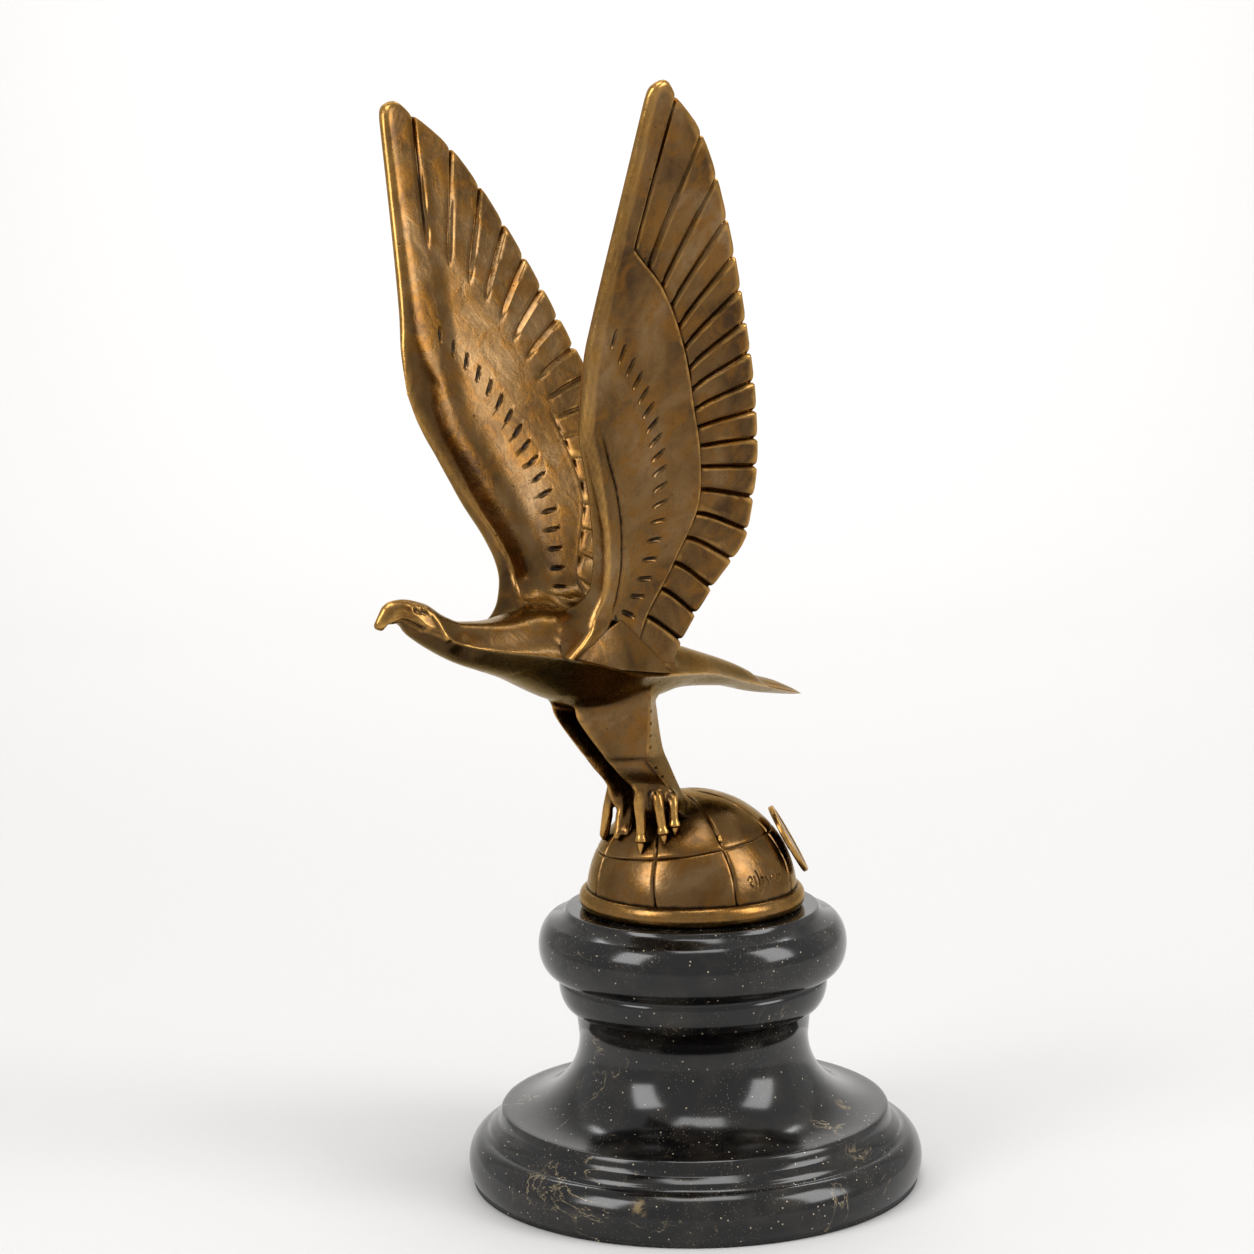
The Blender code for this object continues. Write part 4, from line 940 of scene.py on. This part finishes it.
def roundedSection(corners, radii, perEdge, perCorner):
    # a polygon with rounded corners, always with the same number of points
    corners = np.array(corners, float)
    out = []
    count = len(corners)
    for i in range(count):
        before, here, after = corners[i - 1], corners[i], corners[(i + 1) % count]
        a, b = before - here, after - here
        a, b = a / np.linalg.norm(a), b / np.linalg.norm(b)
        start, end = here + a * radii[i], here + b * radii[i]
        for t in np.linspace(0, 1, perCorner):
            out.append((1 - t) ** 2 * start + 2 * t * (1 - t) * here + t * t * end)
        c = here - after
        nextStart = after + c / np.linalg.norm(c) * radii[(i + 1) % count]
        for t in np.linspace(0, 1, perEdge + 2)[1:-1]:
            out.append(end * (1 - t) + nextStart * t)
    return np.array(out)


def makeLeg(name, side):
    heights = np.linspace(leg["stations"][0][0], leg["stations"][-1][0], 72)
    rings, nicks = [], []
    for height in heights:
        front, frontSide, back, backSide, rear = legStation(height)
        dip = sum(depth * float(hump(height - at, width)) for at, depth, width in leg["creases"])
        outerMid = (0.5 * (front + back), 0.5 * (frontSide + backSide) + leg["bulge"] - dip)
        corners = ((front, frontSide - 0.3 * dip), outerMid, (back, backSide - dip),
                   (rear + 1.0, leg["inner"] + 3.0),
                   (rear, leg["inner"]), (0.5 * (front + rear), leg["inner"]))
        section = roundedSection(corners, leg["rounding"], 3, 5)
        rings.append(eaglePoints(section[:, 0], side * section[:, 1], np.full(len(section), height)))
    for height in leg["nicks"]:
        front, frontSide, back, backSide, rear = legStation(height)
        outerCorner = eaglePoints(back, side * backSide, height)
        rearCorner = eaglePoints(rear + 1.0, side * (leg["inner"] + 3.0), height - 0.6)
        ahead = (rearCorner - outerCorner) / np.linalg.norm(rearCorner - outerCorner)
        start = outerCorner + 0.7 * ahead
        nicks.append(tubeRings([start, start + leg["nickLength"] * ahead], leg["nickRadius"],
                               (0.0, 0.0, 1.0), 8))
    return combine(skinOfRings(name, rings), skinOfRings(name + "Nicks", *nicks), "DIFFERENCE")


def legStation(height):
    return [float(curveThrough([(s[0], s[i]) for s in leg["stations"]], height)) for i in range(1, 6)]


toes = {
    # root and bend of each toe as (forward, sideways, height), and its end's angles on the globe
    "left": (((27.2, 7.3, 6.5), (26.4, 7.0, -3.8), (57.5, 15.6)),
             ((22.8, 9.2, 5.0), (24.0, 12.8, -1.4), (50.9, 30.6)),
             ((17.0, 9.8, 3.0), (20.2, 14.6, 0.0), (45.5, 37.0))),
    "right": (((25.0, 8.0, 7.0), (26.5, 9.9, -6.6), (56.0, 30.0)),
              ((21.8, 7.6, 6.5), (24.3, 4.9, -6.3), (53.2, 9.8)),
              ((19.4, 7.2, 6.0), (20.5, 3.4, -6.6), (49.9, 4.5))),
    "thickness": 4.4, "claw": 2.0, "around": 20, "steps": 44,
    # the left toes end in a cuff and a small claw, the right ones are plain and rounded
    "leftProfile": ((0.0, 0.7), (0.2, 1.08), (0.4, 0.98), (0.6, 0.72), (0.74, 0.66), (0.8, 0.84),
                    (0.84, 0.88),
                    (0.86, 0.56), (0.93, 0.4), (1.0, 0.14)),
    "rightProfile": ((0.0, 0.7), (0.3, 0.84), (0.75, 0.74), (0.9, 0.72), (1.0, 0.3)),
}


def makeToe(name, side, profile, root, knuckle, end):
    polar, turn = np.radians(end)
    towards = np.array((side * math.sin(polar) * math.sin(turn), -math.sin(polar) * math.cos(turn),
                        math.cos(polar)))
    start = eaglePoints(root[0], side * root[1], root[2])
    middle = eaglePoints(knuckle[0], side * knuckle[1], knuckle[2])
    finish = globeCentre + (globe["radius"] + 0.2 * toes["claw"]) * towards
    rings = []
    for t in np.linspace(0, 1, toes["steps"]):
        centre = start * (1 - t) ** 2 + middle * 2 * t * (1 - t) + finish * t * t
        run = (middle - start) * (1 - t) + (finish - middle) * t
        across = np.cross(run, (1.0, 0.0, 0.0))
        across = across / np.linalg.norm(across)
        beside = np.cross(run, across)
        beside = beside / np.linalg.norm(beside)
        radius = 0.5 * toes["thickness"] * float(curveThrough(profile, t))
        a = np.arange(toes["around"]) * 2 * math.pi / toes["around"]
        rings.append(centre + radius * (np.cos(a)[:, None] * across + np.sin(a)[:, None] * beside))
    return skinOfRings(name, rings)


softening = {"reach": 2.2, "rounds": 26, "inside": 17.5, "below": 39.0}


def makeEagle():
    casting = makeBody()
    casting.name = "castBronzeEagle"
    later, sources = [], [casting]
    for name, side in (("left", 1.0), ("right", -1.0)):
        sources += [makeLeg(name + "Leg", side), makeWing(name + "Wing", side)]
        for k, (root, knuckle, end) in enumerate(toes[name]):
            sources.append(makeToe("%sToe%d" % (name, k + 1), side, toes[name + "Profile"], root, knuckle,
                                   end))
        later.append(makeShoulder(name + "Shoulder", side))
    print("eagle's pieces modelled")
    before = [[v.co.copy() for v in piece.data.vertices] for piece in sources]
    for piece in sources[1:]:
        combine(casting, piece)
    # the wings' outer roots and the side ridges stay crisp
    inside, ridgeZ = softening["inside"], globeTopZ + softening["below"]
    softenSeams(casting, before, softening["reach"], softening["rounds"],
                lambda p: abs(p.x) < inside or p.z < ridgeZ)
    for piece in later + [makeGlobe(), makeRim()]:
        combine(casting, piece)
    tidySkin(casting, 0.03)
    casting.data.materials.clear()
    casting.data.materials.append(bronzeMaterial("patinatedCastBronze"))
    casting.data.shade_smooth()
    casting.data.set_sharp_from_angle(angle=math.radians(40))
    markRelief(casting)
    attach(casting, "root")
    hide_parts("bronze_eagle")
    print("eagle cast:", sum(len(p.vertices) - 2 for p in casting.data.polygons), "triangles")


makeEagle()


def makeMedallion():
    m = medallion
    radius, half = 0.5 * m["diameter"], 0.5 * m["thickness"]
    inner = radius - m["band"]
    profile = [(0.0, half - m["recess"]), (0.5 * inner, half - m["recess"]),
               (inner - 0.5, half - m["recess"])]
    profile += [(inner - 0.2, half - 0.5 * m["recess"]), (inner + 0.1, half - 0.05)]
    corner = m["corner"]
    profile += arcPoints(radius - corner, half - corner, corner, corner, 90, 0, 5)
    profile += arcPoints(radius - corner, corner - half, corner, corner, 0, -90, 5)
    stub = m["standoff"] - globe["seatGap"]
    profile += [(0.5 * m["stub"] + 0.3, -half), (0.5 * m["stub"], -half - 0.2),
                (0.5 * m["stub"], -half - stub),
                (0.25 * m["stub"], -half - stub), (0.0, -half - stub)]
    made = turnedSkin("bronzeMedallion", profile, 96)
    towards = Vector((math.cos(math.radians(m["turn"])) * math.cos(math.radians(m["rise"])),
                      math.sin(math.radians(m["turn"])) * math.cos(math.radians(m["rise"])),
                      math.sin(math.radians(m["rise"]))))
    centre = Vector(globeCentre) + (globe["radius"] + m["standoff"] + half) * towards
    turn = towards.to_track_quat("Z", "Y").to_matrix().to_4x4()
    made.data.transform(Matrix.Translation(centre * mm) @ turn)
    made.data.materials.append(bronzeMaterial("rubbedCastBronze"))
    made.data.shade_smooth()
    made.data.set_sharp_from_angle(angle=math.radians(40))
    markRelief(made)
    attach(made, "root")
    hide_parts("foundry_medallion")


makeMedallion()
print("medallion made")

# Studio: a pale sweep and soft lights

studio = {"floor": "#cfcecd", "grain": "#cccbca", "grainSize": 2.5, "air": "#fafafa", "airStrength": 0.7,
          "halfWidth": 2600, "front": -2200, "back": 2200, "rise": 2600, "sweep": 900}

# each box as name, turn and rise in degrees, distance, width and height in mm, watts and the point it faces
eagleMiddle, wallMiddle = (0, 0, 170), (-1532, 1286, 600)
softBoxes = (
    ("leftBox", -52, 30, 1300, 480, 800, 8, eagleMiddle),
    ("rightBox", 67, 27, 1300, 520, 900, 9, eagleMiddle),
    ("topBox", 10, 80, 1300, 600, 600, 6, eagleMiddle), ("wallBox", 0, 50, 1400, 1800, 500, 27, wallMiddle),
)


def makeSweep():
    reach = studio["sweep"]
    rows = [(studio["front"], 0.0), (0.0, 0.0), (studio["back"] - reach, 0.0)]
    rows += [(studio["back"] - reach + reach * math.sin(a), reach - reach * math.cos(a))
             for a in np.linspace(0, math.pi / 2, 24)[1:]]
    rows += [(studio["back"], studio["rise"])]
    yaw = math.radians(camera["yaw"])
    points, faces = [], []
    for depth, height in rows:
        for x in (-studio["halfWidth"], studio["halfWidth"]):
            points.append((x * math.cos(yaw) - depth * math.sin(yaw),
                           x * math.sin(yaw) + depth * math.cos(yaw), height))
    for i in range(len(rows) - 1):
        faces.append((2 * i, 2 * i + 1, 2 * i + 3, 2 * i + 2))
    sweep = newMesh("paleSweep", points, faces)
    made, tree = emptyMaterial("mattPaleBoard")
    place = addNode(tree, "ShaderNodeTexCoord").outputs["Object"]
    grain = addNode(tree, "ShaderNodeTexNoise", {"Scale": 1000 / studio["grainSize"], "Detail": 3},
                    {"Vector": place})
    tone = addNode(tree, "ShaderNodeMix", {"data_type": "RGBA", 6: studio["grain"], 7: studio["floor"]},
                   {0: grain}).outputs[2]
    shader = addNode(tree, "ShaderNodeBsdfPrincipled", {"Roughness": 0.7, "Specular IOR Level": 0.2},
                     {"Base Color": tone})
    addNode(tree, "ShaderNodeOutputMaterial", None, {"Surface": shader})
    sweep.data.materials.append(made)
    sweep.data.shade_smooth()


def softLight(name, turn, rise, distance, width, height, watts, aim):
    # turn is the angle from the camera's side, seen from above, and positive to the right of the view
    yaw = math.radians(camera["yaw"] + turn)
    place = Vector((math.sin(yaw) * math.cos(math.radians(rise)),
                    -math.cos(yaw) * math.cos(math.radians(rise)),
                    math.sin(math.radians(rise)))) * distance + Vector(aim)
    data = bpy.data.lights.new(name, "AREA")
    data.shape = "RECTANGLE"
    data.size, data.size_y = width * mm, height * mm
    data.energy = watts
    made = bpy.data.objects.new(name, data)
    bpy.context.scene.collection.objects.link(made)
    back = (place - Vector(aim)).normalized()
    made.rotation_mode = "QUATERNION"
    made.rotation_quaternion = back.to_track_quat("Z", "Y")
    made.location = place * mm


makeSweep()
for box in softBoxes:
    softLight(*box)
world = bpy.data.worlds.new("studioAir")
world.use_nodes = True
world.node_tree.nodes["Background"].inputs["Color"].default_value = linearColour(studio["air"])
world.node_tree.nodes["Background"].inputs["Strength"].default_value = studio["airStrength"]
bpy.context.scene.world = world
bpy.context.scene.view_settings.view_transform = "Standard"
print("studio lit")
